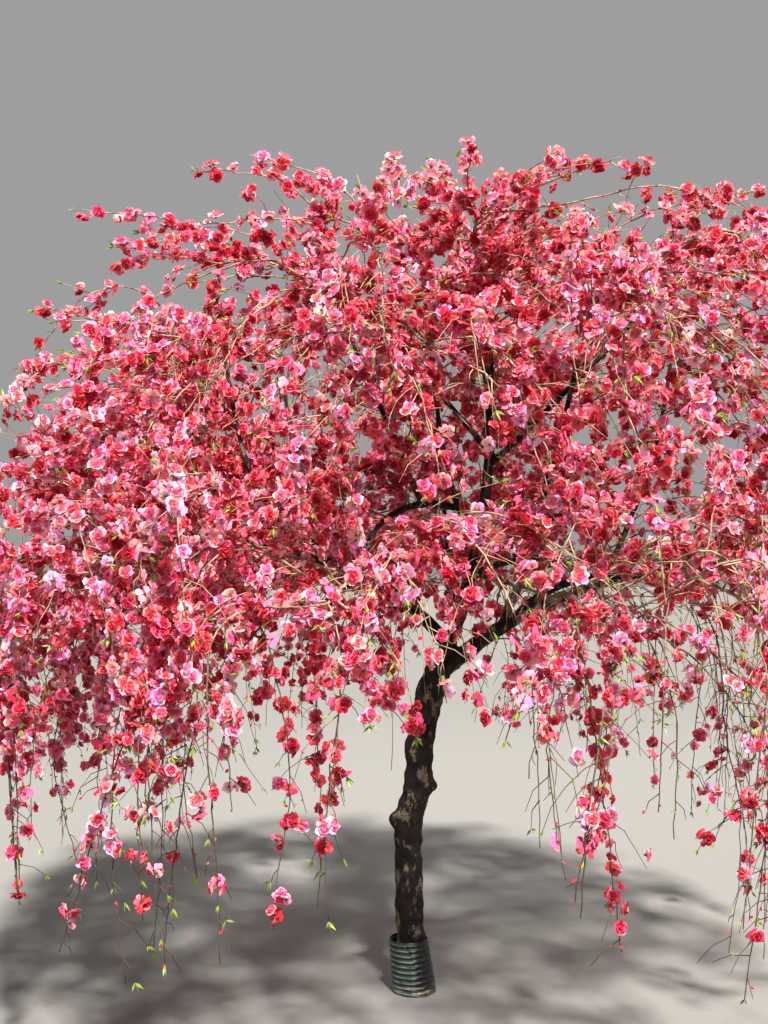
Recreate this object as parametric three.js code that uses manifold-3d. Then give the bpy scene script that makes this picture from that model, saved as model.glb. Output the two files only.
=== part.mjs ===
// A weeping peach tree in full double blossom, rooted in the ground, its foot in a ribbed plastic guard.
// Millimetres, +Z up. The origin is at the middle of the flat cut under the trunk, at ground level.
// +X is to the viewer's right and +Y away from the viewer. A compass angle turns from +X towards +Y.

import * as THREE from "three";
import { mergeVertices } from "three/addons/utils/BufferGeometryUtils.js";
import Module from "manifold-3d";

const wasm = await Module();
wasm.setup();

// The whole tree
const treeHeight = 2900;
const shoulderHeight = 1650; // where the crown is widest
const crownRadius = 1520;
const domeEase = 0.42; // the smaller, the flatter its top
const crownCentreX = 70; // the crown stands a little to the right of the trunk's foot
const gap = 0.3; // between two pieces that touch
const clearance = 2; // between a mass and its neighbours, or the limbs that pass through its space

// The trunk: the line that it leans along, its thickness, and the burls that swell out of it
const trunkStations = [
  // height, offset to the right, offset away
  [0, 0, 0],
  [70, 0, 0],
  [330, -7, 6],
  [560, -6, 10],
  [690, 20, 4],
  [860, 36, -4],
  [980, 60, -2],
  [1088, 99, 2],
];
const trunkSides = 14;
const trunkSteps = 22;
const trunkWaist = 48;
const trunkTaper = 4;
const footFlare = 14; // added to the waist at ground level
const flareHeight = 110;
const rootLobes = 5;
const lobeDepth = 0.28;
const fork = { at: 0.93, half: 0.07, swell: 5, topShrink: 0.72 };
const burls = [
  { height: 561, facing: 185, reach: 24, half: 30, width: 34 },
  { height: 690, facing: 355, reach: 24, half: 26, width: 32 },
  { height: 625, facing: 250, reach: 7, half: 45, width: 50 },
  { height: 300, facing: 215, reach: 4, half: 40, width: 40 },
  { height: 820, facing: 190, reach: 6, half: 35, width: 45 },
  { height: 905, facing: 60, reach: 9, half: 40, width: 45 },
];

// The guard: one ribbed sheet wrapped round the foot, its ends lapping over at the front
const guardHeight = 174;
const guardWall = 2;
const ribDepth = 3.2;
const ribs = 10;
const guardCentreX = { foot: 12, top: -8 }; // it leans and spreads towards the ground
const guardOuterRadius = { foot: 73.5, top: 64.5 }; // inside the outer end of the sheet
const guardTuck = 7; // how much nearer the inner end lies
const guardLapAngle = 302; // where the outer end lies, at ground level
const guardSweep = 388; // degrees of sheet
const guardSlant = 42; // degrees that the ends lean round by at the top
const guardSteps = 20;
const guardInnerSteps = 3;

// The limbs. Each leaves its parent at a share of the parent's length, turns evenly from the heading
// that it leaves on to the one that it arrives on, and tapers. A heading is a compass angle and a rise.
// Each bears one mass of blossom from its tip.
const limbs = [
  {
    name: "leader", from: "trunk", at: 0.985, bears: "crest",
    leave: [-15, 70], arrive: [150, 86], length: 1230, thick: [31, 10],
  },
  {
    name: "bough_right", from: "trunk", at: 0.97, bears: "weeping",
    leave: [-2, 38], arrive: [4, 16], length: 800, thick: [33, 14],
  },
  {
    name: "bough_left", from: "leader", at: 0.08, bears: "weeping",
    leave: [186, 44], arrive: [178, 0], length: 860, thick: [24, 12],
  },
  {
    name: "bough_back", from: "leader", at: 0.15, bears: "weeping",
    leave: [95, 40], arrive: [84, -8], length: 800, thick: [21, 11],
  },
  {
    name: "bough_back_left", from: "bough_left", at: 0.3, bears: "weeping",
    leave: [118, 34], arrive: [138, -6], length: 720, thick: [16, 10],
  },
  {
    name: "bough_back_right", from: "bough_right", at: 0.34, bears: "weeping",
    leave: [66, 40], arrive: [48, 0], length: 640, thick: [19, 10],
  },
  {
    name: "bough_left_front", from: "bough_left", at: 0.36, bears: "weeping",
    leave: [242, 30], arrive: [222, -8], length: 640, thick: [15, 9],
  },
  {
    name: "bough_right_front", from: "bough_right", at: 0.4, bears: "weeping",
    leave: [296, 30], arrive: [316, -2], length: 640, thick: [18, 10],
  },
  {
    name: "bough_front_left", from: "leader", at: 0.44, bears: "weeping",
    leave: [232, 10], arrive: [254, -28], length: 860, thick: [15, 8],
  },
  {
    name: "bough_front_right", from: "leader", at: 0.27, bears: "weeping",
    leave: [296, 16], arrive: [284, -12], length: 800, thick: [15, 8],
  },
  {
    name: "riser_right", from: "bough_right", at: 0.8, bears: "shoulder",
    leave: [310, 56], arrive: [345, 76], length: 700, thick: [12, 8],
  },
  {
    name: "riser_back_right", from: "bough_back_right", at: 0.62, bears: "shoulder",
    leave: [60, 62], arrive: [40, 74], length: 640, thick: [11, 8],
  },
  {
    name: "riser_back", from: "bough_back", at: 0.6, bears: "shoulder",
    leave: [96, 62], arrive: [90, 64], length: 560, thick: [11, 8],
  },
  {
    name: "riser_back_left", from: "bough_back_left", at: 0.6, bears: "shoulder",
    leave: [150, 62], arrive: [136, 74], length: 640, thick: [11, 8],
  },
  {
    name: "riser_left", from: "bough_left", at: 0.74, bears: "shoulder",
    leave: [170, 62], arrive: [188, 80], length: 660, thick: [11, 8],
  },
  {
    name: "riser_left_front", from: "bough_front_left", at: 0.42, bears: "shoulder",
    leave: [222, 56], arrive: [226, 60], length: 560, thick: [10, 7],
  },
  {
    name: "riser_right_front", from: "bough_front_right", at: 0.5, bears: "shoulder",
    leave: [300, 66], arrive: [306, 68], length: 680, thick: [11, 8],
  },
  {
    name: "riser_front", from: "leader", at: 0.36, bears: "shoulder",
    leave: [244, 36], arrive: [262, 46], length: 700, thick: [11, 8],
  },
  {
    name: "high_right", from: "leader", at: 0.58, bears: "top",
    leave: [-14, 42], arrive: [4, 48], length: 740, thick: [12, 8],
  },
  {
    name: "high_left", from: "leader", at: 0.62, bears: "top",
    leave: [176, 50], arrive: [184, 38], length: 780, thick: [11, 7],
  },
  {
    name: "high_back", from: "leader", at: 0.7, bears: "top",
    leave: [92, 50], arrive: [88, 50], length: 660, thick: [10, 7],
  },
  {
    name: "high_front", from: "leader", at: 0.72, bears: "top",
    leave: [262, 46], arrive: [258, 36], length: 620, thick: [10, 7],
  },
];
const limbSteps = 5;
const limbSway = 0.1;
const thickLimb = 13; // a limb that is thicker than this at its root has six sides, a thinner one five
const taperEase = 0.8;

// How a mass grows from its bough's tip. A weeping one falls round the space under the crown, a shoulder
// one arches outwards, and the top ones fan out. heart is the middle of its space: out from the crown's
// middle, and up. It stands higher and lower than that in turn, by uneven. stemRise and fall are the rises
// that the stem and the shoots arrive on.
const habits = {
  weeping: {
    heart: [1120, 1190], uneven: 120, stem: 330, stemRise: -20, shoots: 7, shoot: 1480,
    rise: [-35, 55], fall: -90, fan: 100, pitch: 126, size: 1.2,
  },
  shoulder: {
    heart: [930, 2060], uneven: 80, stem: 300, stemRise: 6, shoots: 6, shoot: 940,
    rise: [-40, 45], fall: -60, fan: 130, pitch: 116, size: 1.25,
  },
  top: {
    heart: [640, 2560], uneven: 0, stem: 230, stemRise: 16, shoots: 6, shoot: 980,
    rise: [-15, 48], fall: -10, fan: 120, pitch: 92, size: 1.2,
  },
  crest: {
    heart: [0, 2660], uneven: 0, stem: 180, stemRise: 66, shoots: 7, shoot: 620,
    rise: [-10, 60], fall: -8, fan: 170, pitch: 76, size: 1.2,
  },
};
const stemSteps = 3;
const stemTip = 7;
const shootSteps = 4;
const shootThick = [5.5, 4];
const shootSpan = [0.75, 1.15]; // a shoot's length, as shares of its habit's
const fanSpan = [0.3, 1]; // how far a shoot turns aside, as shares of its habit's fan
const swingBack = 0.4; // how much of that turn it has lost when it hangs
const twigSway = 0.3;
const bendSpan = [0.3, 0.9]; // under 1, a shoot turns mostly near its root
const bareRoot = 70; // of a shoot, without sprays
const shyOfReach = 0.96; // how far out a shoot may go, so that its sprays still fit inside the outline
const skirtFloor = 280; // the lowest that a hanging shoot may reach
const skirtRises = [
  // where the skirt hangs less low: the middle compass angle, half width, and how much higher
  { facing: 90, half: 50, lift: 470 },
  { facing: 262, half: 30, lift: 290 },
  { facing: 271, half: 9, lift: 600 },
];
const openHeight = 1150; // below this, the space round the trunk stays open
const openRadius = 700;

// A spray of blossom: a five-sided cup on a point that is sunk in its twig
const petals = 5;
const cupRadius = 60;
const cupDepth = 84;
const cupHollow = 0.55;
const cupRuffle = 0.3;
const rimSpan = [0.72, 1.12]; // how high the rim stands, as shares of the depth
const sizeSpan = [0.82, 1.18];
const cupTilt = 0.4; // towards the twig's tip
const lastTilt = 3; // the spray at the tip points on along it
const tipSunk = 12;
const twigSides = 3;
const flatWithin = 0.5; // corners that stand out of a face by less than this are drawn in

// Each use of chance has a number of its own.
const draw = {
  x: 1, y: 2, z: 3, petal: 5, rim: 6, side: 7, size: 8, turn: 9, rise: 10, length: 11, bend: 12,
};

const bark = new THREE.MeshStandardMaterial({ color: 0x2e211b, roughness: 0.95, metalness: 0 });
const blossom = new THREE.MeshStandardMaterial({ color: 0xd6486c, roughness: 0.75, metalness: 0 });
const plastic = new THREE.MeshStandardMaterial({ color: 0x1b2420, roughness: 0.35, metalness: 0 });
const pieces = new THREE.Group();

// A heading as a unit vector.
function heading(compass, rise) {
  const turn = THREE.MathUtils.degToRad(compass);
  const lift = THREE.MathUtils.degToRad(rise);
  return new THREE.Vector3(Math.cos(turn) * Math.cos(lift), Math.sin(turn) * Math.cos(lift), Math.sin(lift));
}

// The compass angle, 0 to 360, of an offset across the ground.
function compassOf(right, away) {
  return (THREE.MathUtils.radToDeg(Math.atan2(away, right)) + 360) % 360;
}

// The smaller angle between two compass angles.
function angleBetween(one, other) {
  const turn = Math.abs(one - other) % 360;
  return Math.min(turn, 360 - turn);
}

// A bell curve: 1 in its middle, and about a third of that at its half width.
function bell(offset, half) {
  return Math.exp(-((offset / half) ** 2));
}

// A number from 0 to 1 that is always the same for the same seed, count and use.
function chance(seed, count, use) {
  const wave = Math.sin(seed * 12.9898 + count * 78.233 + use * 37.719) * 43758.5453;
  return wave - Math.floor(wave);
}

function chanceIn([low, high], seed, count, use) {
  return low + (high - low) * chance(seed, count, use);
}

// The points of a limb or twig that turns from one heading to another as it grows. settle may move each.
function grow({ start, leave, arrive, length, steps, sway, seed, ease = 1, settle = (point) => point }) {
  const points = [start.clone()];
  for (let i = 0; i < steps; i++) {
    const way = leave.clone().lerp(arrive, (i / (steps - 1)) ** ease).normalize();
    const wander = i ? sway : 0;
    way.x += wander * (chance(seed, i, draw.x) - 0.5);
    way.y += wander * (chance(seed, i, draw.y) - 0.5);
    way.z += wander * (chance(seed, i, draw.z) - 0.5);
    points.push(settle(points[i].clone().addScaledVector(way.normalize(), length / steps)));
  }
  return points;
}

// The point at a share of a grown line, and the heading there.
function along(points, share) {
  const place = share * (points.length - 1);
  const i = Math.min(Math.floor(place), points.length - 2);
  const way = points[i + 1].clone().sub(points[i]);
  return { point: points[i].clone().addScaledVector(way, place - i), way: way.normalize() };
}

function lengthOf(points) {
  return points.slice(1).reduce((sum, point, i) => sum + point.distanceTo(points[i]), 0);
}

// A frame at each point of a line: its heading and two square to it, carried along without twist.
function framesOf(points) {
  const last = points.length - 1;
  let side = new THREE.Vector3(0.28, 0.96, 0.05);
  return points.map((point, i) => {
    const way = points[Math.min(i + 1, last)].clone().sub(points[Math.max(i - 1, 0)]).normalize();
    side = side.clone().addScaledVector(way, -side.dot(way)).normalize();
    return { point, side, cross: side.clone().cross(way) };
  });
}

// A closed solid from a geometry: its shared corners are merged, and faces that close up are left out.
function solidOf(geometry) {
  geometry.deleteAttribute("normal");
  geometry.deleteAttribute("uv");
  const merged = mergeVertices(geometry, 1e-3);
  const faces = [];
  for (let i = 0; i < merged.index.count; i += 3) {
    const [a, b, c] = merged.index.array.slice(i, i + 3);
    if (a !== b && b !== c && c !== a) faces.push(a, b, c);
  }
  const vertProperties = merged.attributes.position.array;
  return new wasm.Manifold(new wasm.Mesh({ numProp: 3, vertProperties, triVerts: new Uint32Array(faces) }));
}

// A tube round a line. radiusAt gives its radius from the share along it and the direction out of it.
function tube(points, radiusAt, sides) {
  const steps = points.length - 1;
  const geometry = new THREE.CylinderGeometry(1, 1, 1, sides, steps);
  const frames = framesOf(points);
  const place = geometry.attributes.position;
  for (let i = 0; i < place.count; i++) {
    const share = place.getY(i) + 0.5;
    const { point, side, cross } = frames[Math.round(share * steps)];
    const out = side.clone().multiplyScalar(place.getX(i)).addScaledVector(cross, place.getZ(i));
    out.multiplyScalar(radiusAt(share, out)).add(point);
    place.setXYZ(i, out.x, out.y, out.z);
  }
  return solidOf(geometry);
}

// The largest body of a solid, without the scraps and sealed hollows that cutting or joining leaves.
function largest(solid) {
  return solid.decompose().reduce((best, body) => (body.volume() > best.volume() ? body : best));
}

function addPiece(name, solid, material) {
  const { vertProperties, triVerts } = solid.getMesh();
  const geometry = new THREE.BufferGeometry();
  geometry.setAttribute("position", new THREE.BufferAttribute(vertProperties, 3));
  geometry.setIndex(new THREE.BufferAttribute(triVerts, 1));
  geometry.computeVertexNormals();
  const mesh = new THREE.Mesh(geometry, material);
  mesh.name = name;
  pieces.add(mesh);
}

// The trunk

const trunkLine = new THREE.CatmullRomCurve3(
  trunkStations.map(([height, right, away]) => new THREE.Vector3(right, away, height)),
).getSpacedPoints(trunkSteps);
trunkLine[1].setX(0).setY(0); // the foot is upright, so that its cut is level

function trunkRadius(share, out) {
  const { point } = along(trunkLine, share);
  const facing = compassOf(out.x, out.y);
  const lobes = 1 - lobeDepth + lobeDepth * Math.cos(THREE.MathUtils.degToRad(rootLobes * facing));
  let radius = trunkWaist - trunkTaper * share;
  radius += footFlare * Math.exp(-point.z / flareHeight) * lobes;
  radius += fork.swell * bell(share - fork.at, fork.half);
  if (share === 1) radius *= fork.topShrink;
  for (const { height, facing: middle, reach, half, width } of burls) {
    radius += reach * bell(point.z - height, half) * bell(angleBetween(facing, middle), width);
  }
  return radius;
}

function trunkSolid(extra) {
  return tube(trunkLine, (share, out) => trunkRadius(share, out) + extra, trunkSides);
}

// The guard. Its section stands upright, ribs outwards, and is swept round the foot.

function fromFootToTop({ foot, top }, height) {
  return foot + ((top - foot) * height) / guardHeight;
}

function guardSolid(extra) {
  const pitch = guardHeight / ribs;
  const wall = new THREE.Shape();
  wall.moveTo(-extra, 0);
  for (let i = 0; i < ribs; i++) {
    wall.lineTo(guardWall + extra, pitch * i);
    wall.lineTo(guardWall + ribDepth + extra, pitch * (i + 0.5));
  }
  wall.lineTo(guardWall + extra, guardHeight);
  for (let i = guardInnerSteps; i > 0; i--) wall.lineTo(-extra, (guardHeight * i) / guardInnerSteps);
  const geometry = new THREE.ExtrudeGeometry(wall, { depth: 1, steps: guardSteps, bevelEnabled: false });
  const past = extra / 100; // the cut that is made with it runs a little past the sheet's ends
  const place = geometry.attributes.position;
  for (let i = 0; i < place.count; i++) {
    const share = place.getZ(i) + (place.getZ(i) === 0 ? -past : 0) + (place.getZ(i) === 1 ? past : 0);
    const height = place.getY(i);
    const compass = guardLapAngle - guardSweep * share - (guardSlant * height) / guardHeight;
    const radius = fromFootToTop(guardOuterRadius, height) - guardTuck * share + place.getX(i);
    const out = heading(compass, 0).multiplyScalar(radius);
    const centreX = fromFootToTop(guardCentreX, height);
    place.setXYZ(i, out.x + centreX, out.y, height + (height ? extra : -extra));
  }
  return solidOf(geometry);
}

addPiece("trunk", largest(trunkSolid(0).subtract(guardSolid(gap))), bark);
addPiece("trunk_guard", guardSolid(0), plastic);

// The limbs. fat and wide are each limb's solid with the gap or the clearance round it.

const grown = [
  {
    name: "trunk",
    line: trunkLine,
    thick: [trunkWaist, trunkWaist],
    fat: trunkSolid(gap),
    wide: trunkSolid(clearance),
  },
];

function taper(thick, share) {
  return thick[0] + (thick[1] - thick[0]) * share ** taperEase;
}

limbs.forEach(({ name, from, at, leave, arrive, length, thick }, number) => {
  const line = grow({
    start: along(grown.find((limb) => limb.name === from).line, at).point,
    leave: heading(...leave),
    arrive: heading(...arrive),
    length,
    steps: limbSteps,
    sway: limbSway,
    seed: number + 1,
  });
  const sides = thick[0] > thickLimb ? 6 : 5;
  const limbTube = (extra) => tube(line, (share) => taper(thick, share) + extra, sides);
  const solid = grown.reduce((rest, limb) => rest.subtract(limb.fat), limbTube(0));
  addPiece(name, largest(solid), bark);
  grown.push({ name, line, thick, fat: limbTube(gap), wide: limbTube(clearance) });
});

// The crown's outline

function fromCentre(point) {
  return Math.hypot(point.x - crownCentreX, point.y);
}

function crownCompass(point) {
  return compassOf(point.x - crownCentreX, point.y);
}

// How far out the crown reaches at a point's height and on its side.
function reachAt(point) {
  const turn = THREE.MathUtils.degToRad(crownCompass(point));
  const wave = 1 + 0.04 * Math.sin(3 * turn + 0.6) + 0.03 * Math.sin(5 * turn + 2);
  const up = (point.z - shoulderHeight) / (treeHeight - shoulderHeight);
  if (up <= 0) return crownRadius * wave * (1 + 0.06 * up);
  return up >= 1 ? 0 : crownRadius * wave * (1 - up ** 2) ** domeEase;
}

// How low the crown hangs on a point's side.
function floorAt(point) {
  const compass = crownCompass(point);
  return skirtRises.reduce(
    (floor, { facing, half, lift }) => floor + lift * bell(angleBetween(compass, facing), half),
    skirtFloor,
  );
}

function inCrown(point) {
  const out = fromCentre(point);
  if (out > reachAt(point) || point.z < floorAt(point)) return false;
  return point.z > openHeight || out > openRadius;
}

// A point that lies outside the crown's outline is drawn in to it.
function drawnIn(point) {
  const share = (shyOfReach * reachAt(point)) / fromCentre(point);
  if (share < 1) {
    point.x = crownCentreX + (point.x - crownCentreX) * share;
    point.y *= share;
  }
  return point;
}

// The masses. Each has the part of the crown that lies nearer to its own heart than to any other's.

const masses = limbs.map(({ name, bears, thick }, number) => {
  const habit = habits[bears];
  const { point: tip, way } = along(grown[number + 1].line, 1);
  const compass = crownCompass(tip);
  const heart = heading(compass, 0).multiplyScalar(habit.heart[0]);
  heart.x += crownCentreX;
  heart.z = habit.heart[1] + (number % 2 ? habit.uneven : -habit.uneven);
  const start = tip.clone().addScaledVector(way, gap);
  const seed = 100 + number;
  return { name: `blossom_${name}`, habit, compass, heart, start, way, root: thick[1] - 1, seed };
});

// How far inside a mass's space a point is: under zero where it is nearer to another mass's heart.
function roomIn(mass, point) {
  let room = Infinity;
  for (const other of masses) {
    if (other === mass) continue;
    const further = point.distanceToSquared(other.heart) - point.distanceToSquared(mass.heart);
    room = Math.min(room, further / (2 * mass.heart.distanceTo(other.heart)));
  }
  return room;
}

function isIn(mass, point, radius) {
  return inCrown(point) && roomIn(mass, point) > radius + clearance;
}

function nearLimb(point, distance) {
  const nearest = new THREE.Vector3();
  return grown.some(({ line, thick }) =>
    line.slice(1).some((end, i) => {
      new THREE.Line3(line[i], end).closestPointToPoint(point, true, nearest);
      return nearest.distanceTo(point) < distance + taper(thick, i / (line.length - 1));
    }),
  );
}

function meetsLimb(solid) {
  return grown.some((limb) => !limb.wide.intersect(solid).isEmpty());
}

// The part of a twig, from its root on, that stays in its mass's space and clear of the limbs.
function keptPart(mass, points, radius) {
  const checks = 6;
  const kept = [points[0]];
  for (let i = 1; i < points.length; i++) {
    let last = null;
    for (let j = 1; j <= checks; j++) {
      const next = points[i - 1].clone().lerp(points[i], j / checks);
      const free = isIn(mass, next, radius) && !nearLimb(next, radius + clearance);
      if (!free) return last ? [...kept, last] : kept;
      last = next;
    }
    kept.push(last);
  }
  return kept;
}

// One spray: a ruffled cup that opens along its heading. A spray that would leave its mass's space or
// touch a limb is nothing.
function spraySolid(mass, root, way, size, seed) {
  const geometry = new THREE.SphereGeometry(1, petals, 2);
  const { side, cross } = framesOf([root, root.clone().add(way)])[0];
  const place = geometry.attributes.position;
  for (let i = 0; i < place.count; i++) {
    const [across, up, over] = [place.getX(i), place.getY(i), place.getZ(i)];
    const onRim = Math.abs(up) < 0.5;
    const petal = Math.floor((compassOf(across, over) * petals) / 360 + 0.25) % petals;
    const wide = cupRadius * size * (1 - cupRuffle * chance(seed, petal, draw.petal));
    const middle = up > 0 ? cupHollow : 0;
    const lift = cupDepth * size * (onRim ? chanceIn(rimSpan, seed, petal, draw.rim) : middle);
    const moved = root.clone().addScaledVector(way, lift);
    moved.addScaledVector(side, across * wide).addScaledVector(cross, over * wide);
    if (lift && !isIn(mass, moved, 0)) return null;
    place.setXYZ(i, moved.x, moved.y, moved.z);
  }
  const solid = solidOf(geometry);
  return meetsLimb(solid) ? null : solid;
}

// The sprays along one shoot, from its tip back. They stand out of its three sides in turn, and one that
// would touch another shoot or spray of the mass is skipped.
function addSprays(mass, shoot, number, placed) {
  const { pitch, size } = mass.habit;
  const { line, seed } = shoot;
  const frames = framesOf(line);
  const length = lengthOf(line);
  for (let i = 0; i * pitch < length - bareRoot; i++) {
    const share = 1 - (i * pitch + tipSunk) / length;
    const { point, way } = along(line, share);
    const { side, cross } = frames[Math.round(share * (line.length - 1))];
    const turn = (i + Math.floor(twigSides * chance(seed, i, draw.side)) + 0.25) / twigSides;
    const out = side.clone().multiplyScalar(Math.cos(2 * Math.PI * turn));
    out.addScaledVector(cross, Math.sin(2 * Math.PI * turn));
    out.addScaledVector(way, i ? cupTilt : lastTilt).normalize();
    const grade = size * chanceIn(sizeSpan, seed, i, draw.size);
    const spray = spraySolid(mass, point, out, grade, seed * 31 + i);
    if (!spray) continue;
    if (placed.some((other, j) => j !== number && !other.intersect(spray).isEmpty())) continue;
    placed.push(spray);
  }
}

for (const mass of masses) {
  const { habit, compass, start, way, root, seed } = mass;
  const stemGrown = grow({
    start,
    leave: way,
    arrive: heading(compass, habit.stemRise),
    length: habit.stem,
    steps: stemSteps,
    sway: twigSway,
    seed,
  });
  const stem = [stemGrown[0], ...keptPart(mass, stemGrown.slice(1), root)];
  const placed = [tube(stem, (share) => taper([root, stemTip], share), twigSides)];
  const shoots = [];
  for (let i = 0; i < habit.shoots; i++) {
    const share = (i + 0.8) / (habit.shoots - 0.2);
    const fan = habit.fan * chanceIn(fanSpan, seed, i, draw.turn) * (1.1 - 0.5 * share);
    const turn = i % 2 ? fan : -fan;
    const line = grow({
      start: along(stem, Math.min(share, 0.985)).point,
      leave: heading(compass + turn, chanceIn(habit.rise, seed, i, draw.rise)),
      arrive: heading(compass + turn * (1 - swingBack), habit.fall),
      length: habit.shoot * chanceIn(shootSpan, seed, i, draw.length),
      steps: shootSteps,
      sway: twigSway,
      seed: seed * 17 + i,
      ease: chanceIn(bendSpan, seed, i, draw.bend),
      settle: drawnIn,
    });
    const kept = keptPart(mass, line, shootThick[0]);
    if (kept.length < 2) continue;
    const solid = tube(kept, (part) => taper(shootThick, part), twigSides);
    if (meetsLimb(solid)) continue;
    shoots.push({ line: kept, seed: seed * 17 + i });
    placed.push(solid);
  }
  shoots.forEach((shoot, i) => addSprays(mass, shoot, i + 1, placed));
  const joined = placed.reduce((sum, solid) => sum.add(solid));
  addPiece(mass.name, largest(joined.simplify(flatWithin)), blossom);
}

export default pieces;
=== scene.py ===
import math

import bpy
import numpy as np
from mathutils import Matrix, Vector, noise


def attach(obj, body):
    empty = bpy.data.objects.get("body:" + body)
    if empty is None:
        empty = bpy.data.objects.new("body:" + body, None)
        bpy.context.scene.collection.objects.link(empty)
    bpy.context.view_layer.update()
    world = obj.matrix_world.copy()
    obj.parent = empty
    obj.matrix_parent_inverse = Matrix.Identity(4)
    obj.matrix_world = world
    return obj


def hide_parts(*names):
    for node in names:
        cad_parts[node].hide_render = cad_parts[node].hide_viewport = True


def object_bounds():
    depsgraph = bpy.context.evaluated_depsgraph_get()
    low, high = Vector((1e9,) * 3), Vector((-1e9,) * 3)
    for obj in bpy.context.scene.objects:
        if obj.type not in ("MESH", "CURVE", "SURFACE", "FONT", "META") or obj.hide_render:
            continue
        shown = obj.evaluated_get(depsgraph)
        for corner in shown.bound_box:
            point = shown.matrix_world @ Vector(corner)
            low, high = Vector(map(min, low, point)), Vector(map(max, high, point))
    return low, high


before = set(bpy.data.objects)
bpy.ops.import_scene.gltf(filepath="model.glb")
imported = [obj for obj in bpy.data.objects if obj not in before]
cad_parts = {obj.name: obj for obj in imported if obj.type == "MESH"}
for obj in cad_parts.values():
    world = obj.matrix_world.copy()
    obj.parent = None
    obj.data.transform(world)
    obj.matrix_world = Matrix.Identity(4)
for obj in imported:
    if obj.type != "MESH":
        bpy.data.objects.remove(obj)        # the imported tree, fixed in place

# A weeping peach tree in full double blossom. Metres, +X to the viewer's right, +Y away, +Z up.
# The lines of its trunk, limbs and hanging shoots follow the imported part's own rule.

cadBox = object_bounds()
chanceOf = np.random.default_rng(4983)
limbNodes = [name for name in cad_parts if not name.startswith("blossom_") and name != "trunk_guard"]
massNodes = [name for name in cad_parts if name.startswith("blossom_")]


# Growing lines

uses = {"x": 1, "y": 2, "z": 3, "turn": 9, "rise": 10, "length": 11, "bend": 12}
scramble = {"seed": 12.9898, "count": 78.233, "use": 37.719, "stretch": 43758.5453}


def steadyChance(seed, count, use):
    # From 0 to 1, and the same on every run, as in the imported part.
    wave = math.sin(seed * scramble["seed"] + count * scramble["count"] + use * scramble["use"])
    wave *= scramble["stretch"]
    return wave - math.floor(wave)


def steadyIn(span, seed, count, use):
    return span[0] + (span[1] - span[0]) * steadyChance(seed, count, use)


def heading(compass, rise):
    turn, lift = math.radians(compass), math.radians(rise)
    return np.array([math.cos(turn) * math.cos(lift), math.sin(turn) * math.cos(lift), math.sin(lift)])


def unit(way):
    return way / max(math.sqrt(way @ way), 1e-9)


def compassOf(right, away):
    return math.degrees(math.atan2(away, right)) % 360


def angleBetween(one, other):
    turn = abs(one - other) % 360
    return min(turn, 360 - turn)


def bell(offset, half):
    return math.exp(-((offset / half) ** 2))


def clamp(value, low=0, high=1):
    return min(max(value, low), high)


def grow(start, leave, arrive, length, steps, sway, seed, ease=1, settle=None):
    points = [np.array(start)]
    for i in range(steps):
        share = (i / (steps - 1)) ** ease
        way = unit(leave + (arrive - leave) * share)
        if i:
            wander = [steadyChance(seed, i, uses[axis]) - 0.5 for axis in "xyz"]
            way = unit(way + sway * np.array(wander))
        point = points[-1] + way * (length / steps)
        points.append(settle(point) if settle else point)
    return np.array(points)


def along(points, share):
    place = share * (len(points) - 1)
    i = min(int(place), len(points) - 2)
    way = points[i + 1] - points[i]
    return points[i] + way * (place - i), unit(way)


def lengthOf(points):
    return float(np.linalg.norm(np.diff(points, axis=0), axis=1).sum())


def evenPoints(fine, steps=None, spacing=None):
    # Points along a fine line, at so many even steps, or about so far apart.
    run = np.concatenate([[0], np.cumsum(np.linalg.norm(np.diff(fine, axis=0), axis=1))])
    steps = steps or max(2, round(run[-1] / spacing))
    even = np.linspace(0, run[-1], steps + 1)
    return np.column_stack([np.interp(even, run, fine[:, axis]) for axis in range(3)])


def smoothLine(points, spacing, finePoints=12):
    # A round line through the same points.
    padded = np.vstack([2 * points[0] - points[1], points, 2 * points[-1] - points[-2]])
    t = np.linspace(0, 1, finePoints, endpoint=False)[:, None]
    fine = []
    for i in range(1, len(padded) - 2):
        before, start, end, after = padded[i - 1:i + 3]
        fine.append(0.5 * (
            2 * start + (end - before) * t + (2 * before - 5 * start + 4 * end - after) * t ** 2
            + (3 * start - before - 3 * end + after) * t ** 3
        ))
    return evenPoints(np.vstack([*fine, points[-1:]]), spacing=spacing)


def spacedLine(points, steps, finePoints=24):
    # A round line through points that stand unevenly.
    span = np.concatenate([[0], np.cumsum(np.linalg.norm(np.diff(points, axis=0), axis=1) ** 0.5)])
    ends = np.vstack([2 * points[0] - points[1], points, 2 * points[-1] - points[-2]])
    knots = np.concatenate([[-span[1]], span, [2 * span[-1] - span[-2]]])
    fine = []
    for i in range(1, len(ends) - 2):
        p, k = ends[i - 1:i + 3], knots[i - 1:i + 3]
        for t in np.linspace(k[1], k[2], finePoints, endpoint=False):
            a = [(p[j] * (k[j + 1] - t) + p[j + 1] * (t - k[j])) / (k[j + 1] - k[j]) for j in range(3)]
            b = [(a[j] * (k[j + 2] - t) + a[j + 1] * (t - k[j])) / (k[j + 2] - k[j]) for j in range(2)]
            fine.append((b[0] * (k[2] - t) + b[1] * (t - k[1])) / (k[2] - k[1]))
    return evenPoints(np.array([*fine, points[-1]]), steps)


# Making meshes

firstSide = np.array([0.28, 0.96, 0.05])  # a way that no line starts along


def framesOf(points):
    # The heading at each point of a line, and two ways square to it.
    ways = np.gradient(points, axis=0)
    ways /= np.linalg.norm(ways, axis=1)[:, None]
    sides = np.empty_like(points)
    side = firstSide
    for i, way in enumerate(ways):
        side = unit(side - way * (side @ way))
        sides[i] = side
    return ways, sides, np.cross(sides, ways)


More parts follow.
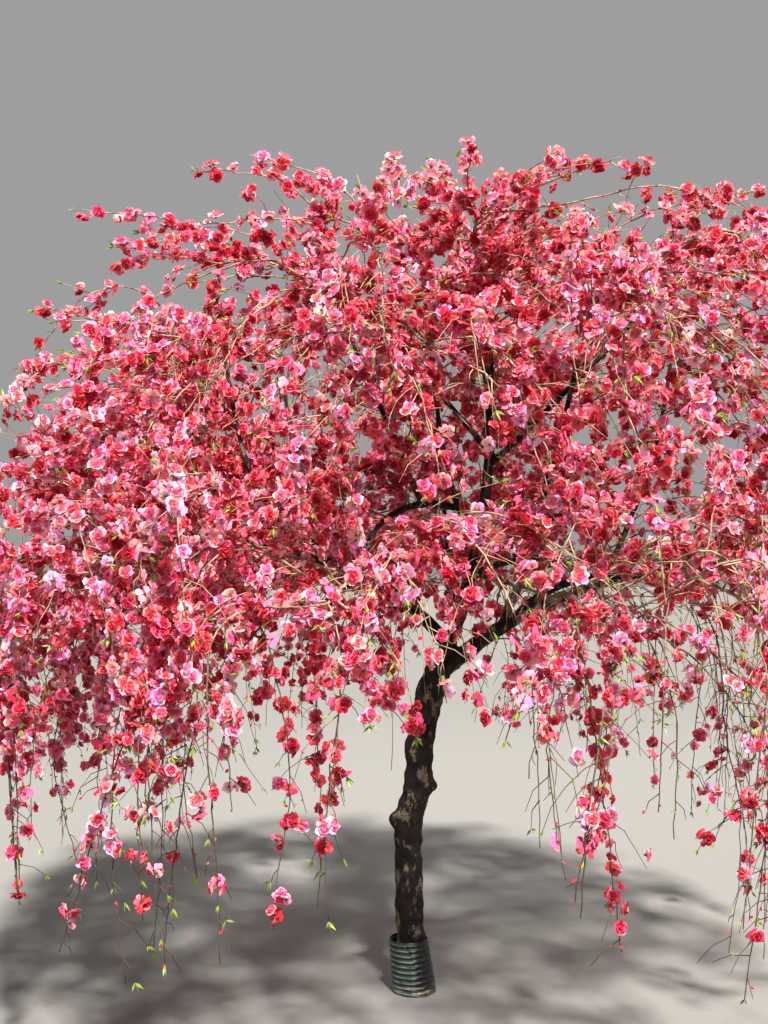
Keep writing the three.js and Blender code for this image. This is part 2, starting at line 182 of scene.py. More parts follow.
def tubeOf(points, radii, sides, reach=None):
    # A closed tube round a line. radii is one number for each point, and reach adds to them by direction.
    _, side, cross = framesOf(points)
    turn = np.arange(sides) * 2 * math.pi / sides
    out = side[:, None] * np.cos(turn)[None, :, None] + cross[:, None] * np.sin(turn)[None, :, None]
    wide = np.repeat(np.asarray(radii, float)[:, None], sides, axis=1)
    if reach is not None:
        wide = wide + reach(points, out)
    rings = (points[:, None] + out * wide[:, :, None]).reshape(-1, 3)
    count = len(points)
    corner = np.arange(sides)
    after = (corner + 1) % sides
    rows = (np.arange(count - 1) * sides)[:, None]
    near = np.stack([rows + corner, rows + sides + corner, rows + sides + after], axis=2).reshape(-1, 3)
    far = np.stack([rows + corner, rows + sides + after, rows + after], axis=2).reshape(-1, 3)
    foot, tip = len(rings), len(rings) + 1
    last = (count - 1) * sides
    caps = np.vstack([
        np.column_stack([np.full(sides, foot), corner, after]),
        np.column_stack([np.full(sides, tip), last + after, last + corner]),
    ])
    return np.vstack([rings, points[0], points[-1]]), np.vstack([near, far, caps])


def joinOf(parts):
    starts = np.cumsum([0] + [len(points) for points, _ in parts])
    points = np.vstack([points for points, _ in parts])
    faces = np.vstack([faces + start for (_, faces), start in zip(parts, starts)])
    return points, faces


def addPiece(name, points, faces, materials, slotOf=None, smooth=True):
    mesh = bpy.data.meshes.new(name)
    mesh.vertices.add(len(points))
    mesh.vertices.foreach_set("co", np.ascontiguousarray(points, dtype=np.float32).ravel())
    mesh.loops.add(faces.size)
    mesh.loops.foreach_set("vertex_index", np.ascontiguousarray(faces, dtype=np.int32).ravel())
    mesh.polygons.add(len(faces))
    mesh.polygons.foreach_set("loop_start", np.arange(0, faces.size, 3, dtype=np.int32))
    if slotOf is not None:
        mesh.polygons.foreach_set("material_index", np.ascontiguousarray(slotOf, dtype=np.int32))
    mesh.polygons.foreach_set("use_smooth", np.full(len(faces), smooth))
    for material in materials:
        mesh.materials.append(material)
    mesh.update(calc_edges=True)
    piece = bpy.data.objects.new(name, mesh)
    bpy.context.scene.collection.objects.link(piece)
    return piece


def dress(piece, slot, *nodes):
    # Puts a piece on the tree's one body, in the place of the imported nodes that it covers.
    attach(piece, "root")
    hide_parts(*nodes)
    print("made", piece.name + ",", len(piece.data.polygons), "faces")


def placeCopies(template, positions, turns, sizes):
    # Copies of one small mesh, each turned by its own matrix and scaled.
    points, faces = template
    moved = np.einsum("nij,vj->nvi", turns, points) * sizes[:, None, None] + positions[:, None]
    indices = faces[None] + (np.arange(len(positions)) * len(points))[:, None, None]
    return moved.reshape(-1, 3), indices.reshape(-1, 3)


def turnsFor(facing, spin):
    # Matrices whose third column faces each given way, spun round it.
    nearlyUpright = np.abs(facing[:, 2:3]) > 0.9
    up = np.where(nearlyUpright, [[1.0, 0, 0]], [[0, 0, 1.0]])
    across = np.cross(up, facing)
    across /= np.linalg.norm(across, axis=1)[:, None]
    over = np.cross(facing, across)
    cos, sin = np.cos(spin)[:, None], np.sin(spin)[:, None]
    return np.stack([across * cos + over * sin, over * cos - across * sin, facing], axis=2)


# Materials

def groupOf(name, inputs, outputs):
    group = bpy.data.node_groups.new(name, "ShaderNodeTree")
    for label, kind, value in inputs:
        made = group.interface.new_socket(name=label, in_out="INPUT", socket_type=kind)
        made.default_value = value
    for label, kind in outputs:
        group.interface.new_socket(name=label, in_out="OUTPUT", socket_type=kind)
    return group, group.nodes.new("NodeGroupInput"), group.nodes.new("NodeGroupOutput")


def feed(tree, socket, value):
    # A plain value is set on the socket itself, and an output is linked to it.
    if isinstance(value, (int, float, tuple)):
        socket.default_value = value
    else:
        tree.links.new(value, socket)


def feedAll(tree, node, values):
    for label, value in values.items():
        feed(tree, node.inputs[label], value)


def noiseNode(tree, coordinates, scale, detail, rough=0.5):
    node = tree.nodes.new("ShaderNodeTexNoise")
    feedAll(tree, node, {"Vector": coordinates, "Scale": scale, "Detail": detail, "Roughness": rough})
    return node.outputs["Fac"]


def mapRange(tree, value, low, high, newLow=0.0, newHigh=1.0):
    node = tree.nodes.new("ShaderNodeMapRange")
    node.interpolation_type = "SMOOTHSTEP"
    feedAll(tree, node, {
        "Value": value, "From Min": low, "From Max": high, "To Min": newLow, "To Max": newHigh,
    })
    return node.outputs["Result"]


def mixColour(tree, factor, one, other):
    node = tree.nodes.new("ShaderNodeMix")
    node.data_type = "RGBA"
    feedAll(tree, node, {0: factor, 6: one, 7: other})  # the sockets of the colour kind
    return node.outputs[2]


def mathNode(tree, operation, one, other=0.0):
    node = tree.nodes.new("ShaderNodeMath")
    node.operation = operation
    feedAll(tree, node, {0: one, 1: other})
    return node.outputs[0]


def objectPlace(tree, stretch=(1, 1, 1)):
    place = tree.nodes.new("ShaderNodeTexCoord")
    mapping = tree.nodes.new("ShaderNodeMapping")
    mapping.inputs["Scale"].default_value = stretch
    tree.links.new(place.outputs["Object"], mapping.inputs["Vector"])
    return mapping.outputs["Vector"]


def placeAxes(tree):
    node = tree.nodes.new("ShaderNodeSeparateXYZ")
    tree.links.new(objectPlace(tree), node.inputs["Vector"])
    return node.outputs


def bumpNode(tree, height, strength, distance):
    node = tree.nodes.new("ShaderNodeBump")
    feedAll(tree, node, {"Height": height, "Strength": strength, "Distance": distance})
    return node.outputs["Normal"]


def colour(red, green, blue):
    # A colour as a screen gives it, 0 to 255, in the linear numbers that shaders take.
    linear = [((c / 255 + 0.055) / 1.055) ** 2.4 if c > 10 else c / 255 / 12.92 for c in (red, green, blue)]
    return (*linear, 1.0)


def blendGroup():
    # Two colours that run into each other in soft blotches.
    group, ins, outs = groupOf(
        "softBlotches",
        [
            ("Colour A", "NodeSocketColor", (1, 1, 1, 1)),
            ("Colour B", "NodeSocketColor", (0, 0, 0, 1)),
            ("Scale", "NodeSocketFloat", 30.0),
            ("Low", "NodeSocketFloat", 0.35),
            ("High", "NodeSocketFloat", 0.65),
        ],
        [("Colour", "NodeSocketColor")],
    )
    grain = noiseNode(group, objectPlace(group), ins.outputs["Scale"], 4, 0.6)
    mask = mapRange(group, grain, ins.outputs["Low"], ins.outputs["High"])
    mixed = mixColour(group, mask, ins.outputs["Colour A"], ins.outputs["Colour B"])
    group.links.new(mixed, outs.inputs["Colour"])
    return group


softBlotches = blendGroup()


def blotches(tree, one, other, scale, low=0.35, high=0.65):
    node = tree.nodes.new("ShaderNodeGroup")
    node.node_tree = softBlotches
    feedAll(tree, node, {"Colour A": one, "Colour B": other, "Scale": scale, "Low": low, "High": high})
    return node.outputs["Colour"]


def newMaterial(name, roughness, specular=0.3):
    material = bpy.data.materials.new(name)
    material.use_nodes = True
    shader = material.node_tree.nodes["Principled BSDF"]
    shader.inputs["Roughness"].default_value = roughness
    shader.inputs["Specular IOR Level"].default_value = specular
    return material, material.node_tree, shader


# The trunk

trunk = {
    "stations": [  # height, offset to the right, offset away
        (0, 0, 0), (0.070, 0, 0), (0.330, -0.007, 0.006), (0.560, -0.006, 0.010),
        (0.690, 0.020, 0.004), (0.860, 0.036, -0.004), (0.980, 0.060, -0.002), (1.088, 0.099, 0.002),
    ],
    "steps": 22,
    "fineStep": 0.004,
    "sides": 72,
    "waist": 0.048,
    "taper": 0.004,
    "footFlare": 0.014,
    "flareHeight": 0.110,
    "rootLobes": 5,
    "lobeDepth": 0.28,
    "fork": {"at": 0.93, "half": 0.07, "swell": 0.005},
    "burls": [  # height, facing, reach, half height, half width in degrees
        (0.561, 185, 0.024, 0.030, 34), (0.690, 355, 0.024, 0.026, 32), (0.625, 250, 0.007, 0.045, 50),
        (0.300, 215, 0.004, 0.040, 40), (0.820, 190, 0.006, 0.035, 45), (0.905, 60, 0.009, 0.040, 45),
    ],
}


stations = np.array([(right, away, height) for height, right, away in trunk["stations"]], float)
trunkLine = spacedLine(stations, trunk["steps"])
trunkLine[1][:2] = 0  # it leaves the ground upright


def trunkReach(points, out):
    share = np.linspace(0, 1, len(points))[:, None]
    high = points[:, 2][:, None]
    facing = np.degrees(np.arctan2(out[:, :, 1], out[:, :, 0])) % 360
    lobes = 1 - trunk["lobeDepth"] + trunk["lobeDepth"] * np.cos(np.radians(trunk["rootLobes"] * facing))
    fork = trunk["fork"]
    extra = trunk["footFlare"] * np.exp(-high / trunk["flareHeight"]) * lobes
    extra = extra + fork["swell"] * np.exp(-(((share - fork["at"]) / fork["half"]) ** 2))
    for height, middle, reach, half, width in trunk["burls"]:
        turn = np.abs(facing - middle) % 360
        turn = np.minimum(turn, 360 - turn)
        extra = extra + reach * np.exp(-(((high - height) / half) ** 2)) * np.exp(-((turn / width) ** 2))
    return extra


# The limbs

limbRule = {"steps": 5, "sway": 0.1, "taperEase": 0.8, "fineStep": 0.008, "sides": 20}
limbs = [  # name, parent, share along it, what it bears, leaving, arriving, length, radii
    ("leader", "trunk", 0.985, "crest", (-15, 70), (150, 86), 1.230, (0.031, 0.010)),
    ("bough_right", "trunk", 0.97, "weeping", (-2, 38), (4, 16), 0.800, (0.033, 0.014)),
    ("bough_left", "leader", 0.08, "weeping", (186, 44), (178, 0), 0.860, (0.024, 0.012)),
    ("bough_back", "leader", 0.15, "weeping", (95, 40), (84, -8), 0.800, (0.021, 0.011)),
    ("bough_back_left", "bough_left", 0.3, "weeping", (118, 34), (138, -6), 0.720, (0.016, 0.010)),
    ("bough_back_right", "bough_right", 0.34, "weeping", (66, 40), (48, 0), 0.640, (0.019, 0.010)),
    ("bough_left_front", "bough_left", 0.36, "weeping", (242, 30), (222, -8), 0.640, (0.015, 0.009)),
    ("bough_right_front", "bough_right", 0.4, "weeping", (296, 30), (316, -2), 0.640, (0.018, 0.010)),
    ("bough_front_left", "leader", 0.44, "weeping", (232, 10), (254, -28), 0.860, (0.015, 0.008)),
    ("bough_front_right", "leader", 0.27, "weeping", (296, 16), (284, -12), 0.800, (0.015, 0.008)),
    ("riser_right", "bough_right", 0.8, "shoulder", (310, 56), (345, 76), 0.700, (0.012, 0.008)),
    ("riser_back_right", "bough_back_right", 0.62, "shoulder", (60, 62), (40, 74), 0.640, (0.011, 0.008)),
    ("riser_back", "bough_back", 0.6, "shoulder", (96, 62), (90, 64), 0.560, (0.011, 0.008)),
    ("riser_back_left", "bough_back_left", 0.6, "shoulder", (150, 62), (136, 74), 0.640, (0.011, 0.008)),
    ("riser_left", "bough_left", 0.74, "shoulder", (170, 62), (188, 80), 0.660, (0.011, 0.008)),
    ("riser_left_front", "bough_front_left", 0.42, "shoulder", (222, 56), (226, 60), 0.560, (0.010, 0.007)),
    ("riser_right_front", "bough_front_right", 0.5, "shoulder", (300, 66), (306, 68), 0.680, (0.011, 0.008)),
    ("riser_front", "leader", 0.36, "shoulder", (244, 36), (262, 46), 0.700, (0.011, 0.008)),
    ("high_right", "leader", 0.58, "top", (-14, 42), (4, 48), 0.740, (0.012, 0.008)),
    ("high_left", "leader", 0.62, "top", (176, 50), (184, 38), 0.780, (0.011, 0.007)),
    ("high_back", "leader", 0.7, "top", (92, 50), (88, 50), 0.660, (0.010, 0.007)),
    ("high_front", "leader", 0.72, "top", (262, 46), (258, 36), 0.620, (0.010, 0.007)),
]

lines = {"trunk": trunkLine}
for number, (name, parent, at, bears, leave, arrive, length, thick) in enumerate(limbs):
    start, _ = along(lines[parent], at)
    lines[name] = grow(
        start, heading(*leave), heading(*arrive), length, limbRule["steps"], limbRule["sway"], number + 1,
    )


def taperTo(thick, count, ease):
    share = np.linspace(0, 1, count)
    return thick[0] + (thick[1] - thick[0]) * share ** ease


fineTrunk = spacedLine(trunkLine, round(lengthOf(trunkLine) / trunk["fineStep"]))
trunkRadii = trunk["waist"] - trunk["taper"] * np.linspace(0, 1, len(fineTrunk))
woodParts = [tubeOf(fineTrunk, trunkRadii, trunk["sides"], trunkReach)]
for name, *_, thick in limbs:
    fine = smoothLine(lines[name], limbRule["fineStep"])
    woodParts.append(tubeOf(fine, taperTo(thick, len(fine), limbRule["taperEase"]), limbRule["sides"]))
print("wood lines grown:", len(limbs), "limbs")

bark = {
    "voxel": 0.0055,
    "smoothing": 2,
    "plates": {
        "size": 0.026, "upright": 0.5, "depth": 0.0032, "middle": 0.9,
        "ridges": (1.0, 2.2, 3, 0.9, 2.0),  # of the ridged fractal
    },
    "knobs": {"size": 0.040, "depth": 0.0062},
    "grain": {"size": 0.011, "depth": 0.0012},
    "thinAbove": 1.15,  # the limbs above have a finer bark
    "thinBlend": 0.15,
    "thinShare": 0.35,
    "dark": colour(18, 13, 11),
    "brown": colour(38, 28, 22),
    "tan": colour(112, 93, 70),
    "grey": colour(94, 89, 76),
    "sizes": {"base": 26, "mottle": 60, "spot": 32, "ring": 55, "fibre": 260},
    "spotsAbove": 0.54,  # the lower, the more of the bark is mottled
    "cracks": (0.36, 0.5),
    "bump": (0.55, 0.0015),
}


def barkMaterial():
    material, tree, shader = newMaterial("darkBark", roughness=0.88, specular=0.25)
    sizes = bark["sizes"]
    base = blotches(tree, bark["dark"], bark["brown"], sizes["base"], low=0.42, high=0.72)
    mottle = blotches(tree, bark["tan"], bark["grey"], sizes["mottle"])
    patchy = noiseNode(tree, objectPlace(tree, (1, 1, 0.5)), sizes["spot"], detail=5, rough=0.6)
    spots = mapRange(tree, patchy, bark["spotsAbove"], bark["spotsAbove"] + 0.08)
    rings = noiseNode(tree, objectPlace(tree, (1, 1, 6)), sizes["ring"], detail=3, rough=0.6)
    cracks = mapRange(tree, rings, *bark["cracks"])
    skin = mixColour(tree, cracks, bark["dark"], mixColour(tree, spots, base, mottle))
    tree.links.new(skin, shader.inputs["Base Color"])
    fibres = noiseNode(tree, objectPlace(tree), sizes["fibre"], detail=6, rough=0.7)
    height = mathNode(tree, "ADD", mathNode(tree, "MULTIPLY", cracks, 0.8), fibres)
    tree.links.new(bumpNode(tree, height, *bark["bump"]), shader.inputs["Normal"])
    rough = mapRange(tree, fibres, 0.2, 0.8, newLow=0.72, newHigh=0.97)
    tree.links.new(rough, shader.inputs["Roughness"])
    return material


def woodPiece():
    # One skin over the trunk and the limbs, raised into plates, knobs and grain.
    rough = addPiece("woodForm", *joinOf(woodParts), [])
    remesh = rough.modifiers.new("oneSkin", "REMESH")
    remesh.mode = "VOXEL"
    remesh.voxel_size = bark["voxel"]
    remesh.use_smooth_shade = True
    settle = rough.modifiers.new("softJoins", "SMOOTH")
    settle.factor = 0.5
    settle.iterations = bark["smoothing"]
    shaped = bpy.data.meshes.new_from_object(rough.evaluated_get(bpy.context.evaluated_depsgraph_get()))
    bpy.data.objects.remove(rough)
    piece = bpy.data.objects.new("barkOfTrunkAndBoughs", shaped)
    bpy.context.scene.collection.objects.link(piece)
    count = len(shaped.vertices)
    place, facing = np.empty(count * 3, np.float32), np.empty(count * 3, np.float32)
    shaped.vertices.foreach_get("co", place)
    shaped.vertices.foreach_get("normal", facing)
    place, facing = place.reshape(-1, 3), facing.reshape(-1, 3)
    plates, knobs, grain = bark["plates"], bark["knobs"], bark["grain"]
    lift = np.empty(count)
    for i, (x, y, z) in enumerate(place.tolist()):
        ridgePlace = Vector((x / plates["size"], y / plates["size"], z / plates["size"] * plates["upright"]))
        ridge = noise.ridged_multi_fractal(ridgePlace, *plates["ridges"])
        bulge = noise.noise(Vector((x, y, z)) / knobs["size"])
        speck = noise.noise(Vector((x, y, z)) / grain["size"])
        raised = plates["depth"] * (ridge - plates["middle"]) + knobs["depth"] * bulge
        lift[i] = raised + grain["depth"] * speck
    blend = bark["thinBlend"]
    thin = np.clip((place[:, 2] - bark["thinAbove"] + blend) / (2 * blend), 0, 1)
    lift *= 1 - (1 - bark["thinShare"]) * thin
    place += facing * lift[:, None]
    place[:, 2] = np.maximum(place[:, 2], 0)
    shaped.vertices.foreach_set("co", place.ravel())
    shaped.update()
    shaped.materials.append(barkMaterial())
    return piece


dress(woodPiece(), "bark", *limbNodes)


# The guard round the foot

guard = {
    "height": 0.174,
    "ribs": 10,
    "ribDepth": 0.0036,
    "radius": (0.0735, 0.0645),  # at the foot and at the top, inside the outer end of the sheet
    "wall": 0.0017,
    "standOff": 0.002,
    "tuck": 0.007,
    "centreX": (0.012, -0.008),  # at the foot and at the top
    "lapAngle": 302,
    "sweep": 388,
    "slant": 42,
    "steps": 130,
    "pointsPerRib": 8,
    "ripple": {"depth": 0.0008, "round": 9, "upward": 3.5},
    "lip": {"depth": 0.0012, "width": 0.003},
    "crestEase": 0.8,  # below 1 the crests are broader than the grooves
    "dark": colour(18, 36, 30),
    "worn": colour(48, 70, 60),
    # pale rib crests: partly wear, partly a painted highlight
    "crest": colour(128, 146, 142),
    # painted shade: the colour of the guard's right side, standing in for its shade
    "shade": colour(9, 11, 12),
    "dust": colour(128, 122, 104),
    "dustBelow": 0.06,
    "paintedShadeFrom": (0.015, 0.03),  # how far to the right its painted shade begins, and where it is full
}


def guardPiece():
    high = np.linspace(0, 1, guard["ribs"] * guard["pointsPerRib"] + 1)
    share = np.linspace(0, 1, guard["steps"] + 1)
    crest = (0.5 - 0.5 * np.cos(2 * np.pi * guard["ribs"] * high)) ** guard["crestEase"]
    edge = np.minimum(high, 1 - high) * guard["height"]
    lip = guard["lip"]["depth"] * np.exp(-edge / guard["lip"]["width"])
    wave = guard["ripple"]
    ripple = np.array([
        [noise.noise(Vector((s * wave["round"], h * wave["upward"], 0.5))) for h in high] for s in share
    ]) * wave["depth"]
    radius = np.interp(high, (0, 1), guard["radius"])
    centreX = np.interp(high, (0, 1), guard["centreX"])
    outer = radius[None] - guard["tuck"] * share[:, None] + guard["standOff"]
    outer = outer + guard["ribDepth"] * crest[None] + lip[None] + ripple
    compass = np.radians(guard["lapAngle"] - guard["sweep"] * share[:, None] - guard["slant"] * high[None])

    def shell(radius):
        return np.stack([
            radius * np.cos(compass) + centreX[None], radius * np.sin(compass),
            np.broadcast_to(high * guard["height"], radius.shape),
        ], axis=2)

    loop = np.concatenate([shell(outer), shell(outer - guard["wall"])[:, ::-1]], axis=1)
    rows, around = loop.shape[:2]
    step = np.arange(around)
    after = (step + 1) % around
    faces = []
    for row in range(rows - 1):
        near, far = row * around, (row + 1) * around
        faces.append(np.column_stack([near + step, far + after, far + step]))
        faces.append(np.column_stack([near + step, near + after, far + after]))
    i = np.arange(around // 2 - 1)
    for start, flip in ((0, False), ((rows - 1) * around, True)):  # the sheet's two ends
        one = np.column_stack([start + i, start + i + 1, start + around - 2 - i])
        two = np.column_stack([start + i, start + around - 2 - i, start + around - 1 - i])
        ends = np.vstack([one, two])
        faces.append(ends[:, ::-1] if flip else ends)
    return addPiece("ribbedTrunkGuard", loop.reshape(-1, 3), np.vstack(faces), [guardMaterial()])


def guardMaterial():
    # Pale rib crests, partly wear and partly a painted highlight, dust at the foot, and painted shade over
    # the right side.
    material, tree, shader = newMaterial("darkRibbedPlastic", roughness=0.36, specular=0.5)
    axes = placeAxes(tree)
    streaks = noiseNode(tree, objectPlace(tree, (1, 1, 4)), scale=34, detail=4, rough=0.65)
    # Pale rib crests, rubbed in streaks: partly wear and partly a painted highlight.
    ribTurn = mathNode(tree, "MULTIPLY", axes["Z"], 2 * math.pi * guard["ribs"] / guard["height"])
    crestWearAndHighlight = mapRange(tree, mathNode(tree, "COSINE", ribTurn), -0.3, -1.0)
    rubbed = mapRange(tree, streaks, 0.35, 0.6, newLow=0.2, newHigh=0.75)
    worn = mathNode(tree, "MULTIPLY", crestWearAndHighlight, rubbed)
    base = blotches(tree, guard["dark"], guard["worn"], scale=42, low=0.5, high=0.8)
    base = mixColour(tree, worn, base, guard["crest"])
    # Painted shade: the right side of the guard is darkened, from a ragged edge.
    paintedShadeEdge = mathNode(tree, "ADD", axes["X"], mathNode(tree, "MULTIPLY", streaks, 0.02))
    base = mixColour(tree, mapRange(tree, paintedShadeEdge, *guard["paintedShadeFrom"]), base, guard["shade"])
    low = mapRange(tree, axes["Z"], 0.0, guard["dustBelow"], newLow=0.2, newHigh=0.0)
    dusty = mapRange(tree, mathNode(tree, "ADD", streaks, low), 0.6, 0.82)
    base = mixColour(tree, mathNode(tree, "MULTIPLY", dusty, 0.7), base, guard["dust"])
    tree.links.new(base, shader.inputs["Base Color"])
    rough = mapRange(tree, streaks, 0.3, 0.8, newLow=0.26, newHigh=0.62)
    tree.links.new(rough, shader.inputs["Roughness"])
    scuffs = noiseNode(tree, objectPlace(tree, (1, 1, 0.3)), scale=300, detail=3)
    tree.links.new(bumpNode(tree, scuffs, strength=0.18, distance=0.0006), shader.inputs["Normal"])
    return material


dress(guardPiece(), "guard", "trunk_guard")


# The camera, where the photograph was taken from

camera = {
    "eye": (-0.092, -4.200, 1.500),
    "pitch": 1.49,  # degrees above level
    "focalPixels": 1235,
    "longSidePixels": 1024,
    "sensor": 36,
}
lens = bpy.data.cameras.new("photoView")
lens.sensor_width = camera["sensor"]
lens.lens = camera["focalPixels"] * camera["sensor"] / camera["longSidePixels"]
eye = bpy.data.objects.new("photoView", lens)
eye.location = camera["eye"]
eye.rotation_euler = (math.radians(90 + camera["pitch"]), 0, 0)
bpy.context.scene.collection.objects.link(eye)
bpy.context.scene.camera = eye
print("camera placed")


def seenAt(points):
    # Where points stand in the picture, in pixels right of and above its middle, and how deep they are.
    pitch = math.radians(camera["pitch"])
    away = points - np.array(camera["eye"])
    depth = away[:, 1] * math.cos(pitch) + away[:, 2] * math.sin(pitch)
    high = away[:, 2] * math.cos(pitch) - away[:, 1] * math.sin(pitch)
    return np.column_stack([away[:, 0], high]) / depth[:, None] * camera["focalPixels"], depth


def placeSeenAt(right, above, away):
    # The point at a given distance away that stands there in the picture.
    pitch = math.radians(camera["pitch"])
    slope = above / camera["focalPixels"]
    depth = (away - camera["eye"][1]) / (math.cos(pitch) - slope * math.sin(pitch))
    rise = depth * (math.sin(pitch) + slope * math.cos(pitch))
    return np.array([camera["eye"][0] + right / camera["focalPixels"] * depth, away, camera["eye"][2] + rise])


# The crown's outline, and how the masses grow

crown = {
    "treeHeight": 2.900,
    "shoulderHeight": 1.650,
    "radius": 1.520,
    "waves": [(0.04, 3, 0.6), (0.03, 5, 2)],  # of its edge: depth, how many round, turned by
    "skirtFlare": 0.06,
    "domeEase": 0.42,  # the smaller, the flatter its top
    "centreX": 0.070,
    "top": cadBox[1].z - 0.030,  # the highest that a twig may reach, with a flower on it
    "shyOfReach": 0.96,
    "frontFall": 0.1,  # how much lower that is for each metre towards the viewer
    "skirtFloor": 0.280,
    "skirtRises": [(90, 50, 0.470), (262, 30, 0.290), (271, 9, 0.600)],  # facing, half width, how much higher
    "openHeight": 1.150,
    "openRadius": 0.700,
}
habits = {  # how the masses of each kind grow, in metres and degrees
    "weeping": {
        "stem": 0.330, "stemRise": -20, "shoots": 7, "shoot": 1.480,
        "rise": (-35, 55), "fall": -90, "fan": 100,
    },
    "shoulder": {
        "stem": 0.300, "stemRise": 6, "shoots": 6, "shoot": 0.940,
        "rise": (-40, 45), "fall": -60, "fan": 130,
    },
    "top": {
        "stem": 0.230, "stemRise": 16, "shoots": 6, "shoot": 0.980,
        "rise": (-15, 48), "fall": -10, "fan": 120,
    },
    "crest": {
        "stem": 0.180, "stemRise": 66, "shoots": 7, "shoot": 0.620,
        "rise": (-10, 60), "fall": -8, "fan": 170,
    },
}
shootRule = {
    "firstSeed": 100,
    "seedStep": 17,
    "stemSteps": 3,
    "shootSteps": 4,
    "span": (0.75, 1.15),
    "fanSpan": (0.3, 1),
    "fanAlong": (1.1, -0.5),  # at the stem's root, and its change up to the tip
    "placing": (0.8, 0.2),  # the first shoot is 0.8 of a step up the stem, and the last is at its tip
    "lastShare": 0.985,
    "swingBack": 0.4,
    "sway": 0.3,
    "bendSpan": (0.3, 0.9),
    "stemTip": 0.0045,
    "shootThick": (0.0038, 0.0013),
    "companionSeed": 7000,
    "companionLength": 0.8,
    "companionThick": (0.0028, 0.0011),
    "stemFineStep": 0.02,
    "fineStep": 0.036,
    "bare": (0.08, 0.05),  # the length without blossom of a stem and of a shoot
}


def crownCompass(point):
    return compassOf(point[0] - crown["centreX"], point[1])


def fromCentre(point):
    return math.hypot(point[0] - crown["centreX"], point[1])


def reachAt(point):
    turn = math.radians(crownCompass(point))
    wave = 1
    for depth, count, turned in crown["waves"]:
        wave += depth * math.sin(count * turn + turned)
    up = (point[2] - crown["shoulderHeight"]) / (crown["treeHeight"] - crown["shoulderHeight"])
    if up <= 0:
        return crown["radius"] * wave * (1 + crown["skirtFlare"] * up)
    return 0 if up >= 1 else crown["radius"] * wave * (1 - up ** 2) ** crown["domeEase"]


def floorAt(point):
    compass = crownCompass(point)
    rises = [lift * bell(angleBetween(compass, facing), half) for facing, half, lift in crown["skirtRises"]]
    return crown["skirtFloor"] + sum(rises)


def inCrown(point):
    out = fromCentre(point)
    top = crown["top"] + crown["frontFall"] * min(point[1], 0)
    if out > reachAt(point) or not floorAt(point) < point[2] < top:
        return False
    return point[2] > crown["openHeight"] or out > crown["openRadius"]


def drawnIn(point):
    share = crown["shyOfReach"] * reachAt(point) / max(fromCentre(point), 1e-6)
    if share < 1:
        point[0] = crown["centreX"] + (point[0] - crown["centreX"]) * share
        point[1] *= share
    return point


def keptPart(points):
    # A twig, from its root up to where it would leave the crown.
    for i in range(1, len(points)):
        if not inCrown(points[i]):
            return points[:i]
    return points


twigs = []  # each has a line, its radius at both ends, its order, its bare length and its least bloom
openSide = {  # the high left of the crown, where full shoots stand apart, in pixels from the middle
    "edge": [(-384, 82), (-314, 162), (-110, 187), (-72, 272), (-44, 317), (66, 362)],
    "blend": 30,
    "kept": {"shoot": 0.15, "inner": 0.10, "side": 0.14},
}


def opennessAt(point):
    # From 0 in the dense crown to 1 in its open side.
    right, above = seenAt(point[None])[0][0]
    edge = np.array(openSide["edge"])
    past = clamp((edge[-1, 0] - right) / openSide["blend"])
    return past * clamp((above - np.interp(right, edge[:, 0], edge[:, 1])) / openSide["blend"])


def standsIn(line, kind):
    # Whether a twig is grown: only some of them are, on the open side.
    return chanceOf.random() > (1 - openSide["kept"][kind]) * opennessAt(line[len(line) // 2])


def addTwig(line, thick, order, bare, full=0.0):
    if len(line) > 2:
        twigs.append({"line": line, "thick": thick, "order": order, "bare": bare, "full": full})


def growMass(seed, name, bears, limbThick):
    # A stem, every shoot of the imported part, and a shorter, thinner one beside each.
    habit, rule = habits[bears], shootRule
    tip, way = along(lines[name], 1)
    compass = crownCompass(tip)
    arrive = heading(compass, habit["stemRise"])
    stem = grow(tip, way, arrive, habit["stem"], rule["stemSteps"], rule["sway"], seed)
    fineStem = smoothLine(stem, rule["stemFineStep"])
    addTwig(fineStem, (limbThick[1] - 0.001, rule["stemTip"]), 0, rule["bare"][0])
    for i in range(habit["shoots"]):
        for companion in (False, True):
            place = i + 0.5 if companion else i
            share = (place + rule["placing"][0]) / (habit["shoots"] - rule["placing"][1])
            own = seed * rule["seedStep"] + i + (rule["companionSeed"] if companion else 0)
            pick = own if companion else seed
            fan = habit["fan"] * steadyIn(rule["fanSpan"], pick, i, uses["turn"])
            fan *= rule["fanAlong"][0] + rule["fanAlong"][1] * share
            turn = fan if (i % 2) != companion else -fan
            long = habit["shoot"] * steadyIn(rule["span"], pick, i, uses["length"])
            line = grow(
                along(stem, min(share, rule["lastShare"]))[0],
                heading(compass + turn, steadyIn(habit["rise"], pick, i, uses["rise"])),
                heading(compass + turn * (1 - rule["swingBack"]), habit["fall"]),
                long * (rule["companionLength"] if companion else 1),
                rule["shootSteps"],
                rule["sway"],
                own,
                steadyIn(rule["bendSpan"], pick, i, uses["bend"]),
                drawnIn,
            )
            thick = rule["companionThick"] if companion else rule["shootThick"]
            if not companion or standsIn(line, "shoot"):
                addTwig(keptPart(smoothLine(line, rule["fineStep"])), thick, 1, rule["bare"][1])


for number, (name, _, _, bears, _, _, _, thick) in enumerate(limbs):
    growMass(shootRule["firstSeed"] + number, name, bears, thick)
print("stems and hanging shoots:", len(twigs))

